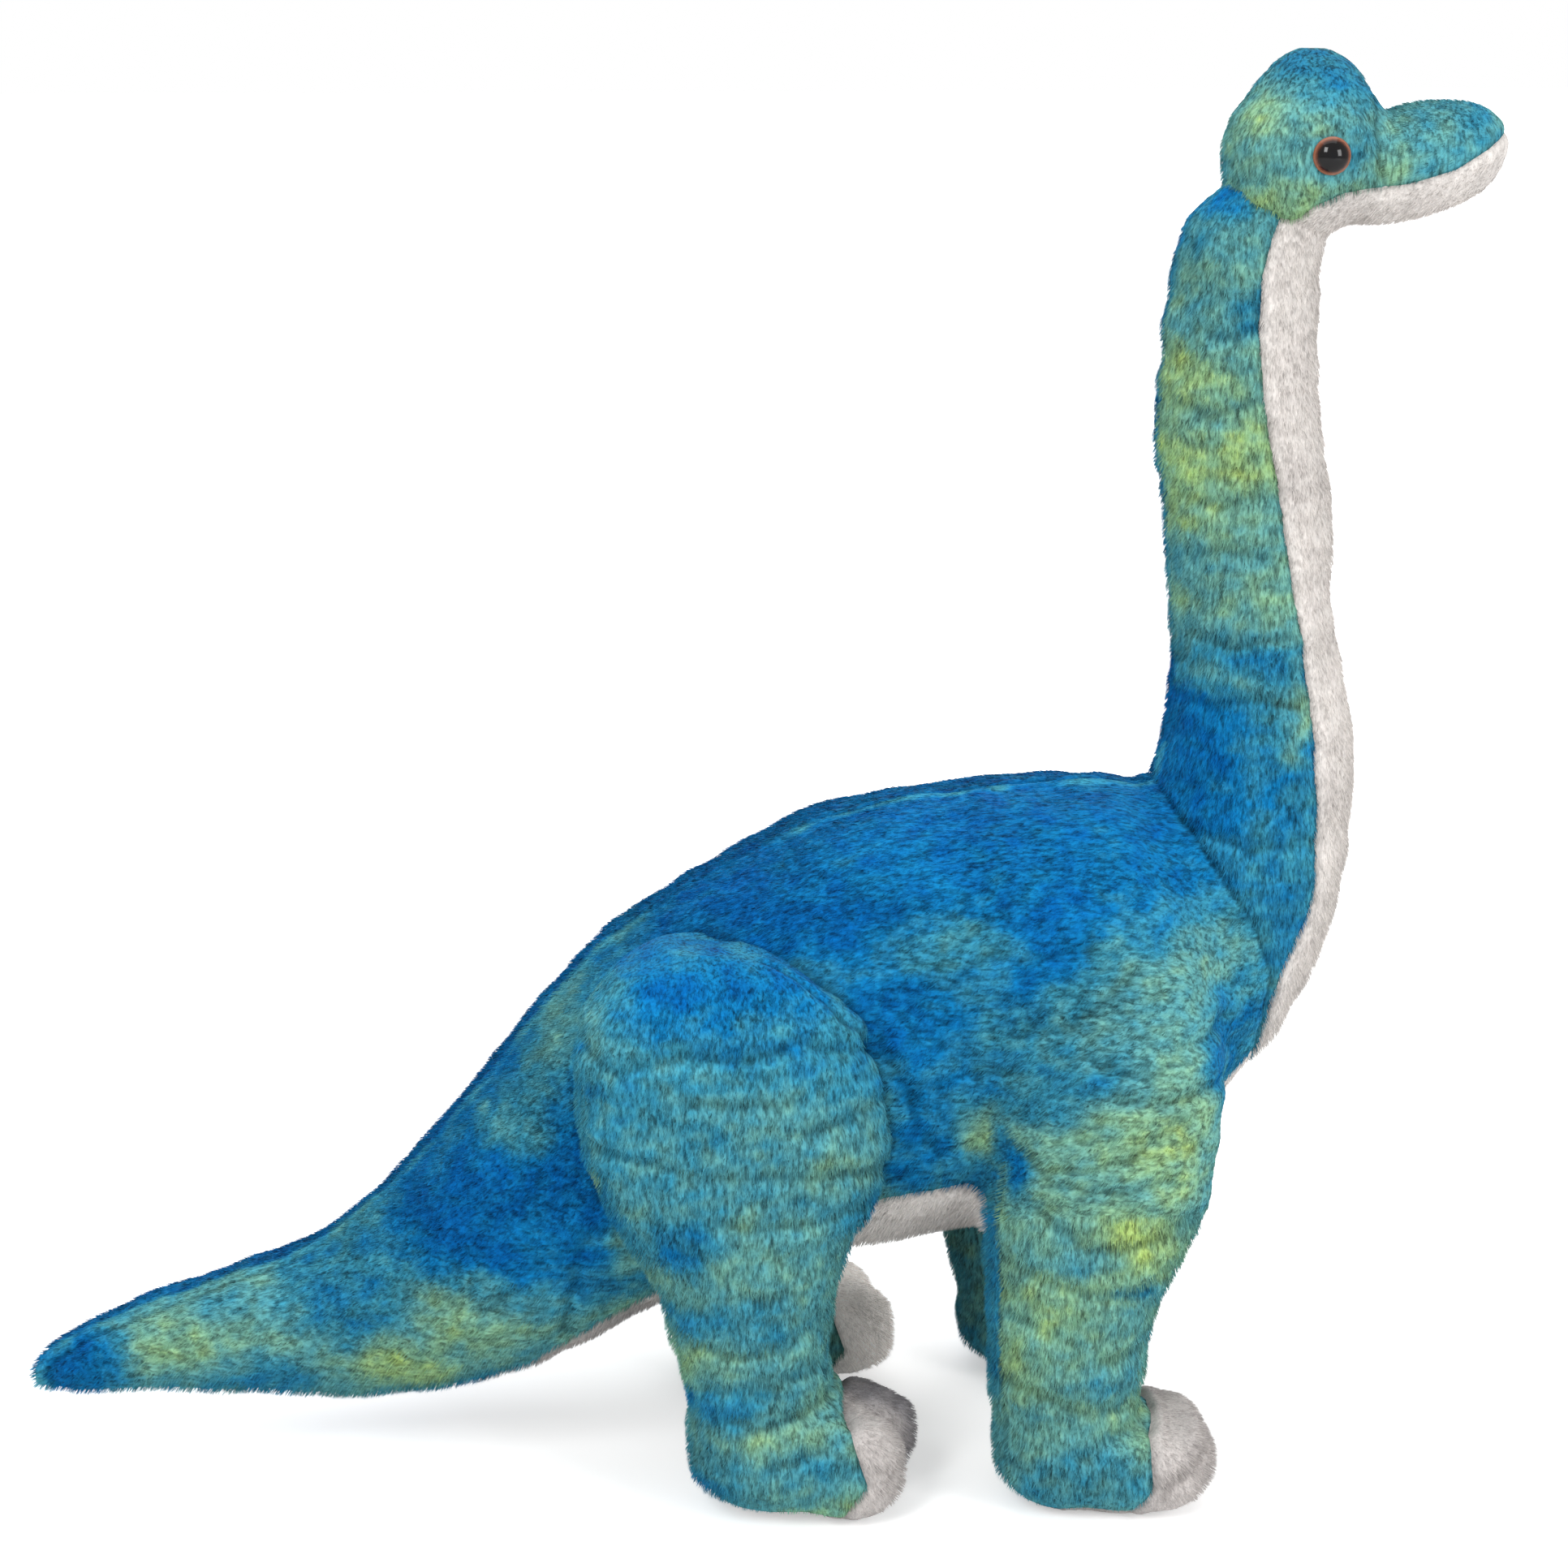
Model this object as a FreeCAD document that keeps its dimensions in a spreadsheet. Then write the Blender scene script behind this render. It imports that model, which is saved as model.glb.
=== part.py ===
"""Stuffed long-necked dinosaur, built as its cut and sewn pieces.

Millimetres. +Z is up, +X is towards the nose, -Y is the animal's right side. The origin lies on the
floor under the middle of the animal. Every soft part is a loft through rings: its outside is the
plush, its inside is the stuffing, and the plush is cut along the seams into separate panels.
"""
import FreeCAD, Part
import os
import Sketcher
from FreeCAD import Placement, Rotation, Vector

os.makedirs("parts", exist_ok=True)
doc = FreeCAD.newDocument("stuffed_dinosaur")

SIZES = {
    # fabric and fits
    "plush": 2.5,              # plush panel with its pile
    "fit_gap": 0.3,            # stuffing to plush, and each flexing seam
    # where the limbs sit
    "leg_height": 130,         # hip and shoulder axes above the floor
    "hip_x": -8,
    "leg_spacing": 111,        # hip to shoulder
    "leg_side": 51,            # middle of a foot from the middle of the animal
    "root_side": 36,           # flat flank against which a leg turns
    # torso: ring radius and how far its middle lies above the hip axis
    "dock_r": 39.5,
    "dock_rise": -69.5,
    "rump_r": 50,
    "rump_rise": -52,
    "croup_r": 61,
    "croup_rise": -27,
    "loin_r": 64,
    "loin_rise": -6,
    "waist_r": 67,
    "waist_rise": 9,
    "withers_r": 64,
    "withers_rise": 21,
    "chest_r": 50,
    "chest_rise": 33,
    "breast_r": 16,
    "breast_rise": 50,
    "chest_ahead": 42,         # shoulder to chest ring
    "breast_ahead": 78,        # shoulder to front of breast
    # tail
    "tail_behind": 67,         # tail axis behind the hip
    "tail_turn_r": 50,         # round end of the torso that the tail turns on
    "tail_length": 148,        # tail axis to tail tip
    "tail_root_r": 36.5,
    "tail_root_z": 57,
    "tail_mid_r": 21,
    "tail_mid_z": 42,
    "tail_end_r": 12.5,
    "tail_end_z": 34.2,
    "tail_tip_r": 5,
    "tail_tip_z": 26,
    # neck
    "neck_ahead": 50,          # neck axis ahead of the shoulder
    "neck_rise": 110,          # neck axis above the shoulder
    "neck_turn_r": 27,         # round top of the neck root that the neck turns on
    "neck_length": 132,        # neck axis to head axis
    "bosom_r": 41,             # widest ring of the neck base, over the breast
    "neck_root_r": 30,
    "neck_low_r": 26.3,
    "neck_mid_r": 24.8,
    "neck_top_r": 21.9,
    "neck_lean": 6,            # how far the neck leans back to its middle
    # head
    "head_turn_r": 22.5,       # round top of the neck that the head turns on
    "head_back": 10,           # head axis to back of skull
    "head_length": 85,         # back of skull to snout tip
    "skull_r": 24.5,
    "brow_r": 27.3,
    "snout_root_r": 17.5,
    "snout_r": 16.8,
    "nose_r": 5.5,
    "brow_rise": 32,           # middle of the skull above the head axis
    "snout_rise": 27,          # middle of the snout above the head axis
    "jaw_seam_rise": 19,
    # eyes
    "eye_r": 5.5,
    "eye_dome": 3.2,
    "eye_x": 18,               # ahead of the head axis
    "eye_rise": 30,            # above the head axis
    "eye_shank_r": 1.8,
    "eye_shank": 9,
    "washer_r": 6.5,
    "washer_depth": 7.2,       # rim of the eye to the washer that grips its shank
    "washer_thick": 1.4,
    # legs
    "thigh_r": 47,
    "shoulder_r": 34,
    "leg_reach": 79,           # outer face of a thigh from the middle of the animal
    "leg_top_r": 27,
    "shin_r": 23.3,
    "foot_length": 65,
    "foot_width": 51,
    "foot_high": 40,
    "hind_foot_ahead": 22,     # foot middle ahead of the hip
    "front_foot_ahead": 3,     # foot middle ahead of the shoulder
    "toe_seam_ahead": 4,       # toe cap seam ahead of the foot middle
    "crotch_z": 45,            # above this a leg stays outside the flank
    # seams
    "belly_half": 30,
    "chest_half": 23,
    "belly_seam_z": 110,
    "seam_lean": 25,           # degrees that the shoulder seam leans back from upright
    "seam_behind": 20,         # a point of that seam behind the neck axis
    "seam_below": 45,          # and below it
    "pocket_room": 2,          # free ring around a thigh
}

sheet = doc.addObject("Spreadsheet::Sheet", "sizes")
for row, (alias, value) in enumerate(SIZES.items(), start=1):
    sheet.set(f"A{row}", alias)
    sheet.set(f"B{row}", str(value))
    sheet.setAlias(f"B{row}", alias)
doc.recompute()

ALONG = {"x": Rotation(Vector(0, 1, 0), 90), "y": Rotation(Vector(1, 0, 0), -90), "z": Rotation()}
RING_START = Rotation(Vector(0, 0, 1), 200)   # keeps the lofts' own edges off the sewn seams
FAR = "300"
SHOULDER_X = "(sizes.hip_x + sizes.leg_spacing)"
TAIL_X = "(sizes.hip_x - sizes.tail_behind)"
NECK_X = f"({SHOULDER_X} + sizes.neck_ahead)"
NECK_Z = "(sizes.leg_height + sizes.neck_rise)"
HEAD_X = f"({NECK_X} - 5)"
HEAD_Z = f"({NECK_Z} + sizes.neck_length)"
LAYERS = {"skin": "0", "lining": "sizes.plush", "core": "(sizes.plush + sizes.fit_gap)"}


def place(obj, rotation, at):
    """Turns an object, and binds its place to the sheet."""
    obj.Placement = Placement(Vector(), rotation)
    for letter, value in zip("xyz", at):
        obj.setExpression(f".Placement.Base.{letter}", value)
    return obj


def box(name, x_span, y_span, z_span):
    """A box between three pairs of limits."""
    obj = doc.addObject("Part::Box", name)
    sides = ("Length", "Width", "Height")
    for side, (low, high) in zip(sides, (x_span, y_span, z_span)):
        obj.setExpression(side, f"({high}) - ({low})")
    return place(obj, Rotation(), (x_span[0], y_span[0], z_span[0]))


def cylinder(name, axis, at, radius, length):
    """A round bar that starts at a point and runs along an axis."""
    obj = doc.addObject("Part::Cylinder", name)
    obj.setExpression("Radius", radius)
    obj.setExpression("Height", length)
    return place(obj, ALONG[axis], at)


def boolean(kind, name, shapes):
    """Fuses or intersects several shapes."""
    obj = doc.addObject(kind, name)
    obj.Shapes = list(shapes)
    return obj


def fuse(name, *shapes):
    return boolean("Part::MultiFuse", name, shapes)


def common(name, *shapes):
    return boolean("Part::MultiCommon", name, shapes)


def cut(name, base, tool):
    obj = doc.addObject("Part::Cut", name)
    obj.Base = base
    obj.Tool = tool
    return obj


def ring(name, rotation, at, radius, width=None):
    """One ring of a loft: round, or an ellipse with its longer radius along x."""
    if width is None:
        obj = doc.addObject("Part::Circle", name)
        obj.setExpression("Radius", radius)
        return place(obj, rotation, at)
    obj = doc.addObject("Part::Ellipse", name)
    obj.setExpression("MajorRadius", radius)
    obj.setExpression("MinorRadius", width)
    return place(obj, rotation, at)


def loft(name, axis, rings, inset, open_ends, ruled):
    """A solid through rings, smaller by the inset all round. An open end grows by it instead."""
    sections = []
    rotation = ALONG[axis].multiply(RING_START) if ruled else ALONG[axis]
    along = "xyz".index(axis)
    for number, (at, *radii) in enumerate(rings):
        at = list(at)
        if number == 0:
            sign = "-" if "first" in open_ends else "+"
            at[along] = f"{at[along]} {sign} {inset}"
        if number == len(rings) - 1:
            sign = "+" if "last" in open_ends else "-"
            at[along] = f"{at[along]} {sign} {inset}"
        radii = [f"{radius} - {inset}" for radius in radii]
        sections.append(ring(f"{name}_ring_{number + 1}", rotation, at, *radii))
    obj = doc.addObject("Part::Loft", name)
    obj.Sections = sections
    obj.Solid = True
    obj.Ruled = ruled
    return obj


def nested(name, axis, rings, open_ends=(), ruled=True):
    """The skin, the lining inside the plush, and the stuffing core of one loft."""
    return {layer: loft(f"{name}_{layer}", axis, rings, inset, open_ends, ruled)
            for layer, inset in LAYERS.items()}


def joined(name, *parts):
    """The same layers of several lofts, fused."""
    return {layer: fuse(f"{name}_{layer}", *(part[layer] for part in parts)) for layer in LAYERS}


def mirrored(name, source):
    obj = doc.addObject("Part::Mirroring", name)
    obj.Source = source
    obj.Normal = Vector(0, 1, 0)
    return obj


pieces = []


def piece(label, obj):
    """Marks an object as one finished sub-part."""
    obj.Label = label
    pieces.append(obj)
    return obj


def panel(name, solid, zone, lining):
    """The plush over one zone of a limb: the skin inside the zone, less what the lining encloses."""
    return cut(f"{name}_plush", common(f"{name}_cut", solid, zone), lining)


right_half = box("right_half", (f"-{FAR}", FAR), (f"-{FAR}", "0"), ("-10", "500"))


def sewn_pair(name, solid, lining):
    """Right and left panels, cut apart along the middle seam."""
    right = piece(f"{name}_right_panel", panel(f"{name}_right", solid, right_half, lining))
    piece(f"{name}_left_panel", mirrored(f"{name}_left", right))


# Torso -----------------------------------------------------------------------------------------
def torso_ring(x, part):
    return ((x, "0", f"sizes.leg_height + sizes.{part}_rise"), f"sizes.{part}_r")


barrel = nested("barrel", "x", [
    ((f"{TAIL_X} - 60", "0", "sizes.tail_mid_z + 6"), "sizes.tail_mid_r + 3"),
    torso_ring(f"{TAIL_X} - 25", "dock"),
    torso_ring(TAIL_X, "rump"),
    torso_ring(f"{TAIL_X} + 31", "croup"),
    torso_ring("sizes.hip_x", "loin"),
    torso_ring("sizes.hip_x + 0.55 * sizes.leg_spacing", "waist"),
    torso_ring(SHOULDER_X, "withers"),
    torso_ring(f"{SHOULDER_X} + sizes.chest_ahead", "chest"),
    torso_ring(f"{SHOULDER_X} + sizes.breast_ahead", "breast"),
], open_ends=("first",))
ROOT_RISES = (-105, -76, -50, -24, 2, 45)
ROOT_Z = [f"{NECK_Z} + {rise}" for rise in ROOT_RISES]
neck_root = nested("neck_root", "z", [
    ((f"{NECK_X} - 30", "0", ROOT_Z[0]), "sizes.bosom_r * 0.9"),
    ((f"{NECK_X} - 17", "0", ROOT_Z[1]), "sizes.bosom_r"),
    ((f"{NECK_X} - 6", "0", ROOT_Z[2]), "sizes.bosom_r * 0.92"),
    ((NECK_X, "0", ROOT_Z[3]), "sizes.neck_root_r"),
    ((NECK_X, "0", ROOT_Z[4]), "sizes.neck_low_r"),
    ((NECK_X, "0", ROOT_Z[5]), "sizes.neck_low_r"),
], open_ends=("first", "last"))


def cut_all(name, base, tools):
    """Takes several tools out of a solid, one after the other."""
    for number, tool in enumerate(tools, start=1):
        base = cut(f"{name}_less_{number}", base, tool)
    return base


def turn(name, axis, at, radius, away):
    """The space beyond a round end: a box on the far side of the axis, less a round bar."""
    start = list(at)
    start["xyz".index(axis)] = f"-{FAR}"
    return cut(f"{name}_space", away, cylinder(f"{name}_bar", axis, start, radius, f"2 * {FAR}"))


behind_tail = box("behind_tail", (f"-{FAR}", TAIL_X), (f"-{FAR}", FAR), ("-10", FAR))
above_neck = box("above_neck", ("0", FAR), (f"-{FAR}", FAR), (NECK_Z, "600"))
tail_space = turn("tail", "z", (TAIL_X, "0", "0"), "sizes.tail_turn_r", behind_tail)
neck_space = turn("neck", "y", (NECK_X, "0", NECK_Z), "sizes.neck_turn_r", above_neck)


def leg_pocket(name, x, radius):
    """Room in the right flank for a leg: round at the top and open below."""
    reach = f"({radius} + sizes.pocket_room)"
    start = f"-{FAR}"
    round_top = cylinder(f"{name}_pocket_top", "y", (x, start, "sizes.leg_height"), reach,
                         f"{FAR} - sizes.root_side")
    open_foot = box(f"{name}_pocket_foot", (f"{x} - {reach} - 3", f"{x} + {reach} + 3"),
                    (start, "-sizes.root_side"), ("0", "sizes.leg_height"))
    return fuse(f"{name}_pocket", round_top, open_foot)


def sloping_box(name, side):
    """Everything ahead of the shoulder seam (side 0), or behind it (side -1)."""
    obj = doc.addObject("Part::Box", name)
    for size in ("Length", "Width", "Height"):
        obj.setExpression(size, f"2 * {FAR}")
    # the box turns about the seam, then slides along its own length and width to cover one side
    obj.Placement = Placement(Vector(), Rotation(Vector(0, 1, 0), 0))
    obj.setExpression(".Placement.Rotation.Axis.y", "1")
    obj.setExpression(".Placement.Rotation.Angle", "-sizes.seam_lean")
    slide = f"({side} * 2 * {FAR})"
    drop = f"(-{FAR})"
    obj.setExpression(".Placement.Base.x", f"{NECK_X} - sizes.seam_behind"
                      f" + {slide} * cos(sizes.seam_lean) - {drop} * sin(sizes.seam_lean)")
    obj.setExpression(".Placement.Base.y", f"-{FAR}")
    obj.setExpression(".Placement.Base.z", f"{NECK_Z} - sizes.seam_below"
                      f" + {slide} * sin(sizes.seam_lean) + {drop} * cos(sizes.seam_lean)")
    return obj


hind_pocket = leg_pocket("hind", "sizes.hip_x", "sizes.thigh_r")
front_pocket = leg_pocket("front", SHOULDER_X, "sizes.shoulder_r")
torso_tools = (tail_space, sloping_box("ahead_of_seam", 0), hind_pocket,
               mirrored("hind_pocket_left", hind_pocket), front_pocket,
               mirrored("front_pocket_left", front_pocket))
root_tools = (neck_space, sloping_box("behind_seam", -1))
torso = cut_all("torso", barrel["skin"], torso_tools)
root = cut_all("neck_base", neck_root["skin"], root_tools)
belly_zone = box("belly_zone", (f"{TAIL_X} - 3", FAR), ("-sizes.belly_half", "sizes.belly_half"),
                 ("0", "sizes.belly_seam_z"))
chest_zone = box("chest_zone", (f"{NECK_X} + 4", FAR), ("-sizes.chest_half", "sizes.chest_half"),
                 ("0", "500"))
piece("belly_panel", panel("belly", torso, belly_zone, barrel["lining"]))
sewn_pair("body", cut("flanks", torso, belly_zone), barrel["lining"])
piece("torso_stuffing", cut_all("barrel_stuffing", barrel["core"], torso_tools))
piece("chest_panel", panel("chest", root, chest_zone, neck_root["lining"]))
sewn_pair("neck_base", cut("neck_base_sides", root, chest_zone), neck_root["lining"])
piece("neck_base_stuffing", cut_all("neck_base_core", neck_root["core"], root_tools))

# Tail ------------------------------------------------------------------------------------------
tail = nested("tail_cone", "x", [
    ((f"{TAIL_X} - sizes.tail_length", "0", "sizes.tail_tip_z"), "sizes.tail_tip_r"),
    ((f"{TAIL_X} - 0.83 * sizes.tail_length", "0", "sizes.tail_end_z"), "sizes.tail_end_r"),
    ((f"{TAIL_X} - 0.475 * sizes.tail_length", "0", "sizes.tail_mid_z"), "sizes.tail_mid_r"),
    ((f"{TAIL_X} - 0.2 * sizes.tail_length", "0", "sizes.tail_root_z"), "sizes.tail_root_r"),
    torso_ring(TAIL_X, "rump"),
], open_ends=("last",))
tail_bar = cylinder("tail_socket_bar", "z", (TAIL_X, "0", "-10"), "sizes.tail_turn_r + sizes.fit_gap", FAR)
before_tail = box("before_tail", (f"{TAIL_X} - 17", FAR), (f"-{FAR}", FAR), ("-10", FAR))
tail_limit = fuse("tail_limit", tail_bar, before_tail)
sewn_pair("tail", cut("tail", tail["skin"], tail_limit), tail["lining"])
piece("tail_stuffing", cut("tail_stuffing_cut", tail["core"], tail_limit))

# Neck ------------------------------------------------------------------------------------------
neck = nested("neck", "z", [
    ((NECK_X, "0", f"{NECK_Z} - 8"), "sizes.neck_low_r"),
    ((NECK_X, "0", f"{NECK_Z} + 5"), "sizes.neck_low_r"),
    ((f"{NECK_X} - sizes.neck_lean", "0", f"{NECK_Z} + 0.55 * sizes.neck_length"), "sizes.neck_mid_r"),
    ((HEAD_X, "0", f"{HEAD_Z} - 6"), "sizes.neck_top_r"),
    ((HEAD_X, "0", f"{HEAD_Z} + 28"), "sizes.neck_top_r"),
], open_ends=("first", "last"))
neck_bar = cylinder("neck_socket_bar", "y", (NECK_X, f"-{FAR}", NECK_Z),
                    "sizes.neck_turn_r + sizes.fit_gap", f"2 * {FAR}")
below_neck = box("below_neck", ("0", FAR), (f"-{FAR}", FAR), ("0", f"{NECK_Z} + 7"))
above_head = box("above_head", ("0", FAR), (f"-{FAR}", FAR), (HEAD_Z, "600"))
head_space = turn("head", "y", (HEAD_X, "0", HEAD_Z), "sizes.head_turn_r", above_head)
neck_limit = fuse("neck_limit", neck_bar, below_neck, head_space)
neck_solid = cut("neck_solid", neck["skin"], neck_limit)
throat_zone = box("throat_zone", (f"{NECK_X} + 4", FAR), ("-sizes.chest_half", "sizes.chest_half"),
                  ("0", "500"))
piece("throat_panel", panel("throat", neck_solid, throat_zone, neck["lining"]))
sewn_pair("neck", cut("neck_sides", neck_solid, throat_zone), neck["lining"])
piece("neck_stuffing", cut("neck_stuffing_cut", neck["core"], neck_limit))


# Head ------------------------------------------------------------------------------------------
def head_ring(share, rise, radius):
    x = f"{HEAD_X} - sizes.head_back + {share} * sizes.head_length"
    return ((x, "0", f"{HEAD_Z} + {rise}"), radius)


head = nested("head", "x", [
    head_ring(0, "sizes.brow_rise - 5", "sizes.skull_r * 0.35"),
    head_ring(0.16, "sizes.brow_rise", "sizes.skull_r"),
    head_ring(0.32, "sizes.brow_rise", "sizes.brow_r"),
    head_ring(0.47, "sizes.brow_rise - 3", "sizes.brow_r * 0.84"),
    head_ring(0.60, "sizes.snout_rise - 2", "sizes.snout_root_r"),
    head_ring(0.80, "sizes.snout_rise + 1", "sizes.snout_r"),
    head_ring(0.92, "sizes.snout_rise + 2", "sizes.snout_r * 0.76"),
    head_ring(1, "sizes.snout_rise + 5", "sizes.nose_r"),
])
EYE_X = f"({HEAD_X} + sizes.eye_x)"
EYE_Z = f"({HEAD_Z} + sizes.eye_rise)"
EYE_SEAT = "(sizes.brow_r - 0.6)"
WASHER_OUT = f"({EYE_SEAT} - sizes.washer_depth)"


def eye_drill(name, radius, depth):
    """Room for both eyes, from the outside in to a depth."""
    return cylinder(f"{name}_right", "y", (EYE_X, f"-{FAR}", EYE_Z), radius, f"{FAR} - {depth}"), \
        cylinder(f"{name}_left", "y", (EYE_X, depth, EYE_Z), radius, FAR)


head_bar = cylinder("head_socket_bar", "y", (HEAD_X, f"-{FAR}", HEAD_Z),
                    "sizes.head_turn_r + sizes.fit_gap", f"2 * {FAR}")
below_head = box("below_head", ("0", FAR), (f"-{FAR}", FAR), ("0", f"{HEAD_Z} + 5"))
shank_holes = eye_drill("shank_hole", "sizes.eye_shank_r + 0.2", "5")
seats = eye_drill("eye_seat", "sizes.eye_r + 0.2", EYE_SEAT)
washer_room = eye_drill("washer_room", "sizes.washer_r + sizes.fit_gap",
                        f"({WASHER_OUT} - sizes.washer_thick - sizes.fit_gap)")
skin_limit = fuse("head_skin_limit", head_bar, below_head, *shank_holes, *seats)
core_limit = fuse("head_core_limit", head_bar, below_head, *shank_holes, *washer_room)
head_solid = cut("head_solid", head["skin"], skin_limit)
FOREHEAD_X = f"({HEAD_X} + 0.4 * sizes.head_length)"
JAW_Z = f"({HEAD_Z} + sizes.jaw_seam_rise)"
jaw_zone = box("jaw_zone", ("0", FAR), (f"-{FAR}", FAR), ("0", JAW_Z))
snout_zone = box("snout_zone", (FOREHEAD_X, FAR), (f"-{FAR}", FAR), (JAW_Z, "600"))
piece("jaw_panel", panel("jaw", head_solid, jaw_zone, head["lining"]))
piece("snout_panel", panel("snout", head_solid, snout_zone, head["lining"]))
skull_zone = box("skull_zone", ("0", FOREHEAD_X), (f"-{FAR}", FAR), (JAW_Z, "600"))
sewn_pair("head", common("skull", head_solid, skull_zone), head["lining"])
piece("head_stuffing", cut("head_stuffing_cut", head["core"], core_limit))


# Eyes ------------------------------------------------------------------------------------------
def plane(body, role):
    """One of a body's own origin planes."""
    return next(f for f in body.Origin.OriginFeatures if f.Role == role)


def flat_sketch(body, name, role):
    sketch = body.newObject("Sketcher::SketchObject", name)
    sketch.AttachmentSupport = (plane(body, role), [""])
    sketch.MapMode = "FlatFace"
    return sketch


def constrain(sketch, kind, places, name, expression):
    """A named size in a sketch, bound to the sheet."""
    index = sketch.addConstraint(Sketcher.Constraint(kind, *places, 1.0))
    sketch.renameConstraint(index, name)
    sketch.setExpression(f"Constraints.{name}", expression)


def eye(name, side):
    """A domed plastic eye on its shank, turned about its own axis. The named sizes draw the half outline to size."""
    body = doc.addObject("PartDesign::Body", name)
    sketch = flat_sketch(body, f"{name}_half", "XZ_Plane")
    corners = [Vector(0, -9, 0), Vector(1.8, -9, 0), Vector(1.8, 0, 0), Vector(5.5, 0, 0), Vector(0, 3.2, 0)]
    for start, end in zip(corners[:3], corners[1:4]):
        sketch.addGeometry(Part.LineSegment(start, end), False)
    middle = Vector(3.6, 2.0, 0)
    sketch.addGeometry(Part.Arc(corners[3], middle, corners[4]), False)
    sketch.addGeometry(Part.LineSegment(corners[4], corners[0]), False)
    for first in (0, 1):
        sketch.addConstraint(Sketcher.Constraint("Coincident", first, 2, first + 1, 1))
    dome = sketch.Geometry[3]
    starts_at_rim = (dome.StartPoint - corners[3]).Length < 0.1
    rim, crown = (1, 2) if starts_at_rim else (2, 1)
    sketch.addConstraint(Sketcher.Constraint("Coincident", 2, 2, 3, rim))
    sketch.addConstraint(Sketcher.Constraint("Coincident", 3, crown, 4, 1))
    sketch.addConstraint(Sketcher.Constraint("Coincident", 4, 2, 0, 1))
    for line in (0, 2):
        sketch.addConstraint(Sketcher.Constraint("Horizontal", line))
    for line in (1, 4):
        sketch.addConstraint(Sketcher.Constraint("Vertical", line))
    sketch.addConstraint(Sketcher.Constraint("PointOnObject", 0, 1, -2))
    sketch.addConstraint(Sketcher.Constraint("PointOnObject", 2, 1, -1))
    sketch.addConstraint(Sketcher.Constraint("PointOnObject", 3, 3, -2))
    constrain(sketch, "DistanceX", (0, 1, 0, 2), "shank_r", "sizes.eye_shank_r")
    constrain(sketch, "DistanceY", (0, 1, -1, 1), "shank_length", "sizes.eye_shank")
    constrain(sketch, "DistanceX", (-1, 1, 2, 2), "rim_r", "sizes.eye_r")
    constrain(sketch, "DistanceY", (-1, 1, 4, 1), "dome_height", "sizes.eye_dome")
    doc.recompute()
    turned = body.newObject("PartDesign::Revolution", f"{name}_turned")
    turned.Profile = sketch
    turned.ReferenceAxis = (sketch, ["V_Axis"])
    turned.Angle = 360
    body.Tip = turned
    place(body, Rotation(Vector(1, 0, 0), -90 * side), (EYE_X, f"{side} * {EYE_SEAT}", EYE_Z))
    return body


def washer(name, side):
    """The plastic lock washer that grips a shank inside the head."""
    body = doc.addObject("PartDesign::Body", name)
    sketch = flat_sketch(body, f"{name}_ring", "XY_Plane")
    rings = ((7.5, "sizes.washer_r"), (1.9, "sizes.eye_shank_r + 0.1"))
    for number, (drawn_r, expression) in enumerate(rings):
        sketch.addGeometry(Part.Circle(Vector(0, 0, 0), Vector(0, 0, 1), drawn_r), False)
        sketch.addConstraint(Sketcher.Constraint("Coincident", number, 3, -1, 1))
        constrain(sketch, "Radius", (number,), f"radius_{number + 1}", expression)
    doc.recompute()
    pad = body.newObject("PartDesign::Pad", f"{name}_plate")
    pad.Profile = sketch
    pad.setExpression("Length", "sizes.washer_thick")
    body.Tip = pad
    turned = Rotation(Vector(1, 0, 0), -90 * side)
    place(body, turned, (EYE_X, f"{side} * ({WASHER_OUT} - sizes.washer_thick)", EYE_Z))
    return body


for side, word in ((-1, "right"), (1, "left")):
    piece(f"eye_{word}", eye(f"eye_{word}_body", side))
    piece(f"eye_washer_{word}", washer(f"eye_washer_{word}_body", side))


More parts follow.
